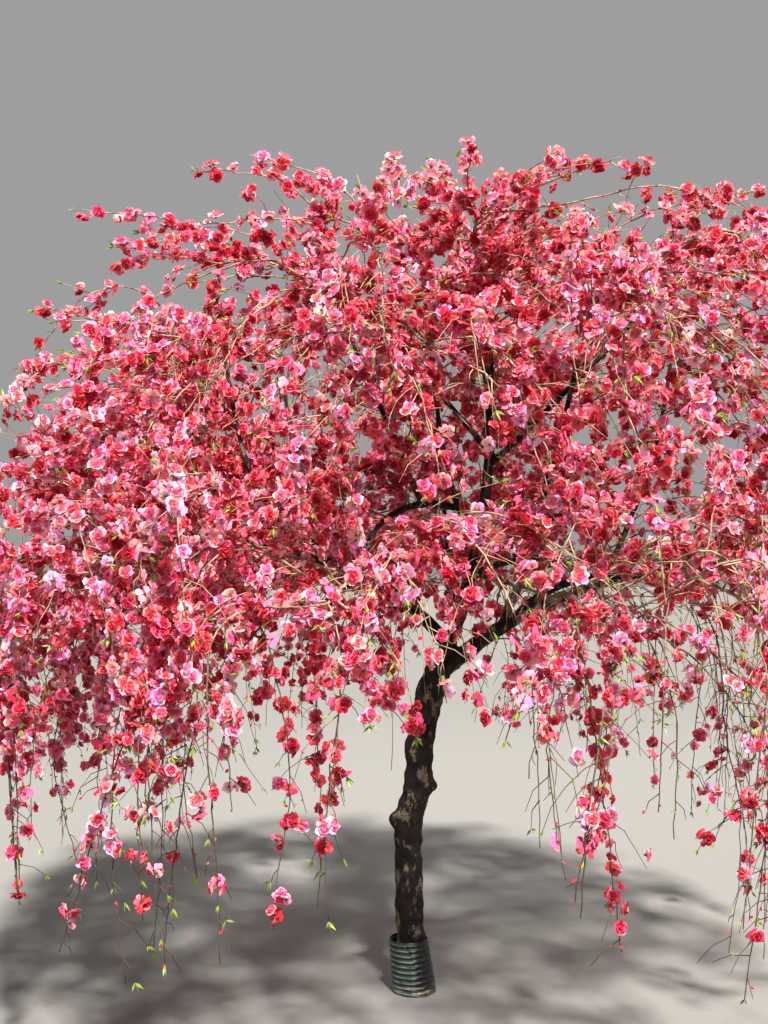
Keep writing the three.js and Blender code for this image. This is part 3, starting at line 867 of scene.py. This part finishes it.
wisps = {  # shoots that stand clear of the crown
    "tips": [  # pixels right of and above the picture's middle, metres away, rise of the root
        (-189, 342, -0.75, -0.25), (-134, 357, -0.80, -0.25), (-309, 302, -0.45, -0.25),
        (-234, 269, -0.55, -0.25), (236, 355, -0.80, -0.25), (381, 322, -0.50, -0.25),
        (-374, 142, -0.30, -0.25), (-330, 190, -0.40, -0.25), (30, -222, -0.24, 4.0),
        (-62, -310, -0.60, 4.0), (206, -330, -0.45, 4.0), (-325, -440, -0.90, 4.0), (238, -440, -0.90, 4.0),
    ],
    "run": {"inward": (0.30, 0.62), "upward": (0.30, 0.95)},
    "inwardAway": -0.4,
    "arch": 0.06,
    "thick": (0.0032, 0.0013),
    "fineStep": 0.03,
    "bare": 0.02,
    "full": 0.9,
}


def growWisp(tip, rise):
    # A long shoot that reaches a given tip from the best placed shoot further in, or above it.
    inward = unit(np.array([crown["centreX"] - tip[0], wisps["inwardAway"] * tip[1], rise]))
    near = np.vstack([twig["line"] for twig in twigs])
    apart = near - tip
    far = np.linalg.norm(apart, axis=1)
    low, high = wisps["run"]["upward" if rise > 0 else "inward"]
    aligned = np.where((far > low) & (far < high), apart @ inward / np.maximum(far, 1e-6), -1)
    root = near[aligned.argmax()]
    arch = np.array([0, 0, wisps["arch"]]) if rise < 0 else np.array([0, -wisps["arch"], 0])
    bend = (root + tip) / 2 + arch
    line = smoothLine(np.array([root, (root + bend) / 2 + arch / 3, bend, tip]), wisps["fineStep"])
    addTwig(line, wisps["thick"], 1, wisps["bare"], wisps["full"])


for right, above, away, rise in wisps["tips"]:
    growWisp(placeSeenAt(right, above, away), rise)

frontShoot = {  # a pale shoot before the blossom
    "limb": "leader",
    "share": 0.28,
    "places": [(180, -92, -0.42), (288, -180, -0.72)],  # where it shows, as for the wisps
    "thick": (0.0068, 0.0028),
    "bare": 0.36,
    "fineStep": 0.03,
}
frontRoot, _ = along(lines[frontShoot["limb"]], frontShoot["share"])
frontLine = np.array([frontRoot] + [placeSeenAt(*place) for place in frontShoot["places"]])
addTwig(smoothLine(frontLine, frontShoot["fineStep"]), frontShoot["thick"], 0, frontShoot["bare"])
print("with those that stand clear:", len(twigs))

# Finer twigs, each order growing on from the one before

inner = {
    "every": 0.058, "from": 0.12, "length": (0.30, 0.90), "thick": (0.0034, 0.0012), "weep": 1.0,
    "order": 1, "fineStep": 0.04, "lift": 0.35,
}
side = {
    "every": 0.070, "from": 0.05, "length": (0.06, 0.38), "thick": (0.0018, 0.0008), "weep": 0.6,
    "order": 2, "fineStep": 0.055, "lift": 0.15,
}
shoulderFill = {
    "every": 0.22, "from": 0.3, "length": (0.30, 0.60), "thick": (0.0024, 0.0010), "weep": 0.5,
    "order": 1, "fineStep": 0.04, "lift": 0.1,
    "leftOf": -0.5, "heights": (1.65, 2.25),  # where the crown bulges out on the left
}
branching = {
    "leftTwigs": 0.35,  # how many more twigs there are on the far left
    "placeSpan": (0.1, 0.9),  # in steps
    "lastShare": 0.97,
    "tilt": (0.31, 0.2, 0.93),  # a way that no twig grows along
    "forward": (0.3, 1.0),
    "outwardRise": 10,
    "weepSpan": (0.5, 1.6),
    "keepsWay": (0.7, 0.3),  # of its own first heading and of its parent's
    "lengthPower": 1.6,  # the higher, the fewer long ones
    "lengthAlong": (1.15, -0.55),  # at the parent's root, and its change up to the tip
    "steps": 4,
    "sway": 0.35,
    "ease": 0.8,
    "bare": 0.02,
    "limbStep": 0.03,
}
byHeight = {  # at these heights, how much of its rule's weep and length a twig has, and how far out it leans
    "heights": [0.6, 1.2, 1.6, 2.3, 2.6],
    "weep": [1.2, 1.0, 0.8, 0.3, 0.2],
    "length": [0.55, 0.9, 1.0, 0.95, 0.7],
    "outward": [0.0, 0.0, 0.3, 0.6, 0.4],
}


def heightShare(point, what):
    return float(np.interp(point[2], byHeight["heights"], byHeight[what]))


def branchOut(line, rule):
    # Twigs that leave a line all round it and bend down as they grow, the more so the lower they are.
    fuller = 1 + branching["leftTwigs"] * clamp(-line[len(line) // 2][0])
    count = int(lengthOf(line) * (1 - rule["from"]) / rule["every"] * fuller)
    for i in range(count):
        place = i + chanceOf.uniform(*branching["placeSpan"])
        share = rule["from"] + (1 - rule["from"]) * place / max(count, 1)
        if share > branching["lastShare"]:
            continue
        point, way = along(line, share)
        around = chanceOf.uniform(0, 2 * math.pi)
        over = unit(np.cross(way, branching["tilt"]))
        aside = over * math.cos(around) + np.cross(way, over) * math.sin(around)
        outward = heading(crownCompass(point), branching["outwardRise"]) * heightShare(point, "outward")
        forward = way * chanceOf.uniform(*branching["forward"])
        leave = unit(forward + aside + outward + np.array([0, 0, rule["lift"]]))
        weep = rule["weep"] * heightShare(point, "weep") * chanceOf.uniform(*branching["weepSpan"])
        own, parents = branching["keepsWay"]
        arrive = unit(leave * own + way * parents + np.array([0, 0, -weep]))
        low, high = rule["length"]
        length = low + (high - low) * chanceOf.random() ** branching["lengthPower"]
        length *= branching["lengthAlong"][0] + branching["lengthAlong"][1] * share
        length *= heightShare(point, "length")
        steps, sway, ease = branching["steps"], branching["sway"], branching["ease"]
        grown = grow(point, leave, arrive, length, steps, sway, chanceOf.integers(1e5), ease, drawnIn)
        kept = keptPart(smoothLine(grown, rule["fineStep"]))
        if len(kept) > 2 and standsIn(kept, "inner" if rule["order"] < 2 else "side"):
            addTwig(kept, rule["thick"], rule["order"], branching["bare"])


def onShoulder(line):
    middle = line[len(line) // 2]
    low, high = shoulderFill["heights"]
    return middle[0] < shoulderFill["leftOf"] and low < middle[2] < high


for name, *_ in limbs:
    branchOut(smoothLine(lines[name], branching["limbStep"]), inner)
for twig in [twig for twig in twigs if onShoulder(twig["line"])]:
    branchOut(twig["line"], shoulderFill)
parents = [twig for twig in twigs if twig["order"] < 2]
for twig in parents:
    branchOut(twig["line"], side)
print("twigs:", len(twigs), "of which parents:", len(parents))

twigLook = {
    "kink": 0.0022,
    "oldTan": colour(160, 138, 112),
    "oldDark": colour(84, 65, 52),
    "youngRed": colour(126, 82, 60),
    "youngTan": colour(170, 146, 116),
    "paintedShade": colour(58, 46, 33),  # painted shade on the hanging ends, low in the crown
    "paintedShadeBelow": (1.45, 0.85),  # from the height where the painted shade starts to where it is full
}


def twigMaterial(name, one, other):
    material, tree, shader = newMaterial(name, roughness=0.7, specular=0.3)
    base = blotches(tree, one, other, scale=22, low=0.38, high=0.62)
    # Painted shade: the twigs grow darker lower down, where they hang in the shade of the crown.
    low = mapRange(tree, placeAxes(tree)["Z"], *twigLook["paintedShadeBelow"], newHigh=0.9)
    tree.links.new(mixColour(tree, low, base, twigLook["paintedShade"]), shader.inputs["Base Color"])
    fibres = noiseNode(tree, objectPlace(tree, (1, 1, 0.5)), scale=420, detail=4, rough=0.6)
    tree.links.new(bumpNode(tree, fibres, strength=0.4, distance=0.0008), shader.inputs["Normal"])
    return material


def twigPiece(name, orders, sides, material):
    parts = []
    for twig in twigs:
        if twig["order"] in orders:
            line = twig["line"].copy()
            line[1:-1] += chanceOf.normal(0, twigLook["kink"], (len(line) - 2, 3))
            parts.append(tubeOf(line, taperTo(twig["thick"], len(line), 0.8), sides))
    dress(addPiece(name, *joinOf(parts), [material]), "bark", *massNodes)


twigPiece("hangingShoots", (0, 1), 4, twigMaterial("shootBark", twigLook["oldTan"], twigLook["oldDark"]))
twigPiece("fineTwigs", (2,), 3, twigMaterial("twigBark", twigLook["youngRed"], twigLook["youngTan"]))

# Where blossom sits

bloom = {
    "every": 0.049,  # between two bunches, where a twig is full
    "everySpan": (0.7, 1.4),
    "bunch": (1, 4),
    "bunchChance": 0.35,  # the least, where a twig's bead of blossom allows one
    "flower": 0.0190,  # its radius
    "span": (0.80, 1.20),
    "upward": 0.25,
    "offTwig": 0.6,  # how much less a flower faces along its twig than aside
    "standOff": (0.004, 0.020),
    "slip": (-0.012, 0.012),
    "beadLength": (0.09, 0.17),
    "beadMargin": 1.02,
    "sideFrom": -0.25,  # the crown is full lower down on the left of this than on its right
    "sideOver": 0.7,
    "fullAboveLeft": 0.95,
    "fullAboveRight": 1.68,
    "thinOver": 0.55,
    "leastFull": 0.16,
    "bareTwigs": (0.1, 0.28, 0.2),  # the share of each order that bears little, so that it shows
    "bareFull": 0.22,
    "bareBelow": 2.2,
    "clump": 0.21,
    "clumpLean": 0.78,
    "clumpDepth": 1.0,
    "leastClump": 0.12,
    "leftFuller": 0.3,
    "openFull": 0.75,  # of the single shoots on the open side
    "uneven": [  # pixels right of and above the picture's middle, half width, half height, how much fuller
        (340, 190, 60, 90, -0.30), (206, -60, 100, 40, -0.32), (190, -146, 120, 45, 0.35),
        (-48, -150, 50, 40, 0.30), (-240, -310, 180, 75, -0.50), (336, -338, 50, 60, 0.35),
        (-200, 142, 110, 50, -0.45), (-60, 140, 60, 50, -0.30), (240, 46, 60, 50, 0.35),
        (240, -242, 60, 45, 0.25), (-144, 238, 55, 45, -0.30), (-160, -50, 130, 50, -0.15),
        (48, -146, 50, 40, -0.20),
    ],
    "least": 0.04,
}
budRule = {"chance": 0.2, "forward": 0.8, "size": (0.006, 0.010)}
leafRule = {"chance": 0.12, "count": (2, 4), "forward": 0.9, "stray": 0.5, "size": (0.010, 0.025)}
tipLeafRule = {"chance": 0.28, "count": (2, 6), "forward": 1.2, "stray": 0.5, "size": (0.014, 0.032)}
clearings = {  # limbs that show through the blossom, from and to a share of their length
    "limbs": {
        "leader": (0.5, 0.85), "bough_right": (0, 1), "high_right": (0, 1), "bough_front_left": (0.15, 1),
    },
    "halfWidth": 10,  # pixels
    "kept": 0.2,
    "fineStep": 0.012,
    "depthSlack": 0.02,
}
sites = {"place": [], "facing": [], "size": [], "lightness": []}
leafSites = {"place": [], "facing": [], "size": []}
budSites = {"place": [], "facing": [], "size": []}


def fullnessAt(point):
    # How much of a twig is in bloom: the hanging ends, on the right most of all, have only some bunches.
    sideShare = clamp((point[0] - bloom["sideFrom"]) / bloom["sideOver"])
    fullAbove = bloom["fullAboveLeft"] + (bloom["fullAboveRight"] - bloom["fullAboveLeft"]) * sideShare
    above = clamp((point[2] - fullAbove + bloom["thinOver"]) / bloom["thinOver"])
    clump = bloom["clumpLean"] + bloom["clumpDepth"] * noise.noise(Vector(point) / bloom["clump"])
    clump += bloom["leftFuller"] * clamp(-point[0])
    full = (bloom["leastFull"] + (1 - bloom["leastFull"]) * above) * clamp(clump, bloom["leastClump"])
    full = max(full, bloom["openFull"] * opennessAt(point))
    seenRight, seenAbove = seenAt(point[None])[0][0]
    for right, high, halfWidth, halfHeight, change in bloom["uneven"]:
        full += change * bell(seenRight - right, halfWidth) * bell(seenAbove - high, halfHeight)
    return clamp(full, bloom["least"])


def addSite(table, **values):
    for key, value in values.items():
        table[key].append(value)


def addFlower(point, way, shade):
    out = unit(chanceOf.normal(0, 1, 3) + np.array([0, 0, bloom["upward"]]))
    out = unit(out - way * (out @ way) * bloom["offTwig"])
    off = out * chanceOf.uniform(*bloom["standOff"]) + way * chanceOf.uniform(*bloom["slip"])
    size = bloom["flower"] * chanceOf.uniform(*bloom["span"])
    addSite(sites, place=point + off, facing=out, size=size, lightness=shade)


def addBud(point, way):
    out = unit(chanceOf.normal(0, 1, 3) + way * budRule["forward"])
    addSite(budSites, place=point, facing=out, size=chanceOf.uniform(*budRule["size"]))


def mayAddLeaves(point, way, rule):
    if chanceOf.random() < rule["chance"]:
        for _ in range(chanceOf.integers(*rule["count"])):
            out = unit(way * rule["forward"] + chanceOf.normal(0, rule["stray"], 3))
            addSite(leafSites, place=point, facing=out, size=chanceOf.uniform(*rule["size"]))


def bloomAlong(twig):
    # Bunches of flowers in beads along a twig, buds and young leaves between them, and leaves at the tip.
    line = twig["line"]
    length = lengthOf(line)
    phase = chanceOf.uniform(0, 2 * math.pi)
    beadLength = chanceOf.uniform(*bloom["beadLength"])
    shade = chanceOf.random()
    bare = chanceOf.random() < bloom["bareTwigs"][twig["order"]] and line[-1][2] < bloom["bareBelow"]
    share = bloom["bareFull"] if bare else 1
    at = twig["bare"] + chanceOf.uniform(0, bloom["every"])
    while at < length:
        point, way = along(line, at / length)
        fullness = max(fullnessAt(point) * share, twig["full"])
        bead = 0.5 + 0.5 * math.sin(2 * math.pi * at / beadLength + phase)
        chance = bloom["bunchChance"] + (1 - bloom["bunchChance"]) * fullness
        if bead < fullness * bloom["beadMargin"] and chanceOf.random() < chance:
            for _ in range(chanceOf.integers(bloom["bunch"][0], bloom["bunch"][1] + 1)):
                addFlower(point, way, shade)
        elif chanceOf.random() < budRule["chance"]:
            addBud(point, way)
        mayAddLeaves(point, way, leafRule)
        at += bloom["every"] * chanceOf.uniform(*bloom["everySpan"])
    mayAddLeaves(*along(line, 1), tipLeafRule)


for twig in twigs:
    bloomAlong(twig)
for table in (sites, leafSites, budSites):
    for key in table:
        table[key] = np.array(table[key])


def hidesLimb(places):
    # Which flowers stand in front of a limb that shows in the photograph.
    seen, depth = seenAt(places)
    hides = np.zeros(len(places), bool)
    for name, (first, last) in clearings["limbs"].items():
        line = smoothLine(lines[name], clearings["fineStep"])
        line = line[int(first * len(line)):int(last * len(line))]
        lineSeen, lineDepth = seenAt(line)
        apart = np.linalg.norm(seen[:, None] - lineSeen[None], axis=2)
        inFront = depth < lineDepth[apart.argmin(axis=1)] + clearings["depthSlack"]
        hides |= (apart.min(axis=1) < clearings["halfWidth"]) & inFront
    return hides


stays = ~hidesLimb(sites["place"]) | (chanceOf.random(len(sites["place"])) < clearings["kept"])
for key in sites:
    sites[key] = sites[key][stays]
print("flowers:", len(sites["place"]), "leaves:", len(leafSites["place"]), "buds:", len(budSites["place"]))

# The flowers

petalRings = [  # from the outside in, for a flower of radius 1, with the rise in degrees
    {"count": 5, "length": 1.0, "width": 0.54, "rise": 16, "cup": 0.18, "faces": 3},
    {"count": 5, "length": 0.84, "width": 0.46, "rise": 38, "cup": 0.16, "faces": 2},
    {"count": 4, "length": 0.62, "width": 0.40, "rise": 68, "cup": 0.12, "faces": 2},
]
petalRule = {
    "kinds": 7,
    "firstSeed": 900,
    "stray": 0.22,  # from even places round the flower
    "riseStray": 12,
    "lengthSpan": (0.85, 1.1),
    "widthSpan": (0.85, 1.15),
    "twist": 0.22,
    "footOut": 0.06,
    "ringLift": 0.05,
    "widestAt": 0.60,
    "sideCup": 0.9,
    "tipAt": (1.0, 0.97),
    "tipWidth": 0.46,
    "tipCurl": (-1.6, 0.8),
}


def flowerTemplate(kind):
    # One open double flower of radius 1, facing +Z. Its outer and inner petals are told apart.
    rule = petalRule
    chance = np.random.default_rng(rule["firstSeed"] + kind)
    points, faces, rings = [], [], []
    for level, ring in enumerate(petalRings):
        start = chance.uniform(0, 2 * math.pi)
        for i in range(ring["count"]):
            place = i + chance.uniform(-rule["stray"], rule["stray"])
            compass = start + 2 * math.pi * place / ring["count"]
            rise = math.radians(ring["rise"] + chance.uniform(-rule["riseStray"], rule["riseStray"]))
            long = ring["length"] * chance.uniform(*rule["lengthSpan"])
            wide = ring["width"] * chance.uniform(*rule["widthSpan"])
            twist = chance.uniform(-rule["twist"], rule["twist"])
            out = np.array([math.cos(compass), math.sin(compass), 0])
            across = np.array([-math.sin(compass), math.cos(compass), 0])
            up = out * math.cos(rise) + np.array([0, 0, math.sin(rise)])
            normal = np.cross(up, across) * -1
            across = across * math.cos(twist) + normal * math.sin(twist)
            cup = ring["cup"]
            foot = up * rule["footOut"] + np.array([0, 0, rule["ringLift"] * level])
            first = len(points)
            points.append(foot)
            for hand in (-1, 1):
                widest = foot + up * long * rule["widestAt"] + across * wide * hand
                points.append(widest + normal * cup * rule["sideCup"])
            for hand, tipAt in zip((-1, 1), rule["tipAt"]):
                curl = normal * cup * chance.uniform(*rule["tipCurl"])
                points.append(foot + up * long * tipAt + across * wide * rule["tipWidth"] * hand - curl)
            petal = [(0, 2, 1), (1, 2, 4), (1, 4, 3)][:ring["faces"]]
            faces += [tuple(first + corner for corner in face) for face in petal]
            rings += [level] * len(petal)
    return np.array(points), np.array(faces), np.array(rings)


flowerShapes = [flowerTemplate(kind) for kind in range(petalRule["kinds"])]
tints = [  # outer petals, inner petals
    {"name": "crimson", "outer": colour(206, 42, 68), "inner": colour(168, 12, 36)},
    {"name": "rose", "outer": colour(230, 84, 116), "inner": colour(198, 26, 52)},
    {"name": "pink", "outer": colour(240, 128, 158), "inner": colour(214, 48, 78)},
    {"name": "pale", "outer": colour(244, 166, 194), "inner": colour(224, 78, 112)},
    {"name": "lilac", "outer": colour(246, 202, 223), "inner": colour(234, 118, 152)},
]


petalLook = {
    "rough": 0.45,
    "shine": 0.5,
    "sheen": {"Sheen Weight": 0.6, "Sheen Roughness": 0.4, "Sheen Tint": (1.0, 0.86, 0.95, 1)},
    "warm": (1, 1.06, 0.7),  # what a petal's colour is multiplied by, patch by patch
    "cool": (0.96, 0.92, 1.45),
    "deep": (0.75, 0.75, 0.75),
    "glow": (1, 0.9, 0.62),  # and in the light that comes through it
    "through": 0.36,
    "hues": (21, 0.42, 0.58),  # how fine the patches are, and from where to where they blend
    "depths": (140, 0.45, 0.75),
}


def toned(tint, factors):
    return (*(part * factor for part, factor in zip(tint, factors)), 1.0)


def petalMaterial(name, tint, through):
    # Thin petals: some of the light behind them comes through.
    material, tree, shader = newMaterial(name, petalLook["rough"], petalLook["shine"])
    feedAll(tree, shader, petalLook["sheen"])
    hues = blotches(tree, toned(tint, petalLook["warm"]), toned(tint, petalLook["cool"]), *petalLook["hues"])
    base = blotches(tree, hues, toned(tint, petalLook["deep"]), *petalLook["depths"])
    tree.links.new(base, shader.inputs["Base Color"])
    glow = tree.nodes.new("ShaderNodeBsdfTranslucent")
    glow.inputs["Color"].default_value = toned(tint, petalLook["glow"])
    mix = tree.nodes.new("ShaderNodeMixShader")
    feedAll(tree, mix, {0: through, 1: shader.outputs[0], 2: glow.outputs[0]})
    tree.links.new(mix.outputs[0], tree.nodes["Material Output"].inputs["Surface"])
    return material


sprayAndPaintedLightTintRule = {  # what makes a flower paler, and where one tint gives way to the next: height, distance out and facing up are painted light, paler where lit and deeper where shaded; spray and stray are the flowers' own tone
    "height": 0.08,
    "heightFrom": 0.6,
    "heightOver": 1.9,
    "outward": 0.20,
    "spray": 0.36,
    "upward": 0.22,
    "stray": 0.05,
    "edges": [0.03, 0.13, 0.23, 0.33],
}


def tintBySprayAndPaintedLight():
    # Each spray has its own tint, and a flower may stray from it; painted light makes it paler where it is
    # high, on the outside and facing up, and deeper lower down, further in and facing down, where shade
    # falls.
    place = sites["place"]
    out = np.hypot(place[:, 0] - crown["centreX"], place[:, 1]) / crown["radius"]
    high = np.clip((place[:, 2] - sprayAndPaintedLightTintRule["heightFrom"]) / sprayAndPaintedLightTintRule["heightOver"], 0, 1)
    # Painted light: paler high up, on the outside and facing up; deeper where shade falls.
    light = sprayAndPaintedLightTintRule["height"] * high + sprayAndPaintedLightTintRule["outward"] * out
    light += sprayAndPaintedLightTintRule["spray"] * (sites["lightness"] - 0.5)
    light += sprayAndPaintedLightTintRule["upward"] * sites["facing"][:, 2] + chanceOf.normal(0, sprayAndPaintedLightTintRule["stray"], len(place))
    return np.digitize(light, sprayAndPaintedLightTintRule["edges"])


flowerTint = tintBySprayAndPaintedLight()
flowerKind = chanceOf.integers(0, petalRule["kinds"], len(flowerTint))
flowerTurns = turnsFor(sites["facing"], chanceOf.uniform(0, 2 * math.pi, len(flowerTint)))


def blossomPiece(number, tint):
    # All the flowers of one tint, each with deeper petals in its heart.
    parts, slots = [], []
    for kind, (points, faces, rings) in enumerate(flowerShapes):
        chosen = (flowerTint == number) & (flowerKind == kind)
        if chosen.any():
            places, sizes = sites["place"][chosen], sites["size"][chosen]
            parts.append(placeCopies((points, faces), places, flowerTurns[chosen], sizes))
            slots.append(np.tile(np.minimum(rings, 1), chosen.sum()))
    outer = petalMaterial(tint["name"] + "Petals", tint["outer"], petalLook["through"])
    heart = petalMaterial(tint["name"] + "InnerPetals", tint["inner"], petalLook["through"])
    name, slots = tint["name"] + "Blossom", np.concatenate(slots)
    dress(addPiece(name, *joinOf(parts), [outer, heart], slots, smooth=False), "blossom", *massNodes)


for number, tint in enumerate(tints):
    blossomPiece(number, tint)

# Cups behind the flowers, buds and young leaves, each drawn for a size of 1

cupLook = {"colour": colour(122, 40, 34), "through": 0.1, "rim": 0.3, "rimHeight": 0.02, "foot": -0.42}
budLook = {
    "colour": colour(196, 34, 58),
    "through": 0.1,
    "ends": (-0.1, 1.5),
    "lowRing": (0.45, 0.25, 0),  # radius, height, turn
    "highRing": (0.5, 0.85, 0.6),
}
leafLook = {"colour": colour(126, 152, 46), "through": 0.3, "half": 0.14, "widestAt": 0.42}


def ringOf(radius, height, turn=0):
    around = np.arange(3) * 2 * math.pi / 3 + turn
    return np.column_stack([np.cos(around) * radius, np.sin(around) * radius, np.full(3, height)])


def cupTemplate():
    points = np.vstack([[0, 0, cupLook["foot"]], ringOf(cupLook["rim"], cupLook["rimHeight"])])
    return points, np.array([[0, 2, 1], [0, 3, 2], [0, 1, 3]])


def budTemplate():
    foot, tip = budLook["ends"]
    points = np.vstack([[0, 0, foot], ringOf(*budLook["lowRing"]), ringOf(*budLook["highRing"]), [0, 0, tip]])
    i = np.arange(3)
    j = (i + 1) % 3
    faces = np.vstack([
        np.column_stack([np.zeros(3, int), 1 + j, 1 + i]),
        np.column_stack([1 + i, 1 + j, 4 + i]),
        np.column_stack([1 + j, 4 + j, 4 + i]),
        np.column_stack([4 + i, 4 + j, np.full(3, 7)]),
    ])
    return points, faces


def leafTemplate():
    half, middle = leafLook["half"], leafLook["widestAt"]
    sides = [[-half, 0.05, middle], [0, -0.02, 0.45], [half, 0.05, middle]]
    points = np.array([[0, 0, 0], *sides, [0, 0.09, 1.0]])
    return points, np.array([[0, 2, 1], [0, 3, 2], [1, 2, 4], [2, 3, 4]])


def scatter(name, template, table, skin, look):
    spin = chanceOf.uniform(0, 2 * math.pi, len(table["place"]))
    points, faces = placeCopies(template, table["place"], turnsFor(table["facing"], spin), table["size"])
    material = petalMaterial(skin, look["colour"], look["through"])
    dress(addPiece(name, points, faces, [material], smooth=False), "blossom", *massNodes)


scatter("flowerCups", cupTemplate(), sites, "cupSkin", cupLook)
scatter("buds", budTemplate(), budSites, "budSkin", budLook)
scatter("youngLeaves", leafTemplate(), leafSites, "leafSkin", leafLook)

# Floor and light

studio = {
    "floorRadius": 40,
    "floorSides": 96,
    "floor": colour(112, 111, 108),
    "world": (0.88, 0.88, 0.88, 1),
    "worldStrength": 0.39,
}


def floorPiece():
    sides, radius = studio["floorSides"], studio["floorRadius"]
    turn = np.arange(sides) * 2 * math.pi / sides
    rim = np.column_stack([np.cos(turn) * radius, np.sin(turn) * radius, np.zeros(sides)])
    i = np.arange(sides)
    faces = np.column_stack([np.zeros(sides, int), 1 + i, 1 + (i + 1) % sides])
    material, _, shader = newMaterial("paleFloor", roughness=0.9, specular=0.1)
    shader.inputs["Base Color"].default_value = studio["floor"]
    return addPiece("studioFloor", np.vstack([[0, 0, 0], rim]), faces, [material], smooth=False)


floorPiece()
world = bpy.data.worlds.new("softStudio")
world.use_nodes = True
background = world.node_tree.nodes["Background"]
background.inputs["Color"].default_value = studio["world"]
background.inputs["Strength"].default_value = studio["worldStrength"]
bpy.context.scene.world = world

lamps = [  # name, kind, from where, at what, size or angle, power, colour
    ("keyLight", "SUN", (1.0, -3.1, 6.4), (0, 0, 1.5), math.radians(5), 13.5, (1.0, 0.96, 0.91)),
    ("fillLight", "AREA", (-4.2, -4.2, 3.0), (0, 0, 1.3), 3.0, 55, (0.97, 0.97, 1.0)),
    ("backLight", "AREA", (1.5, 4.8, 4.6), (0, 0, 1.6), 2.4, 140, (1.0, 0.98, 0.95)),
]
for name, kind, place, target, size, power, tone in lamps:
    light = bpy.data.lights.new(name, kind)
    if kind == "SUN":
        light.angle = size
    else:
        light.shape = "DISK"
        light.size = size
    light.energy = power
    light.color = tone
    lamp = bpy.data.objects.new(name, light)
    lamp.location = place
    lamp.rotation_euler = (Vector(target) - Vector(place)).to_track_quat("-Z", "Y").to_euler()
    bpy.context.scene.collection.objects.link(lamp)

bpy.context.scene.view_settings.view_transform = "Standard"
print("studio ready")
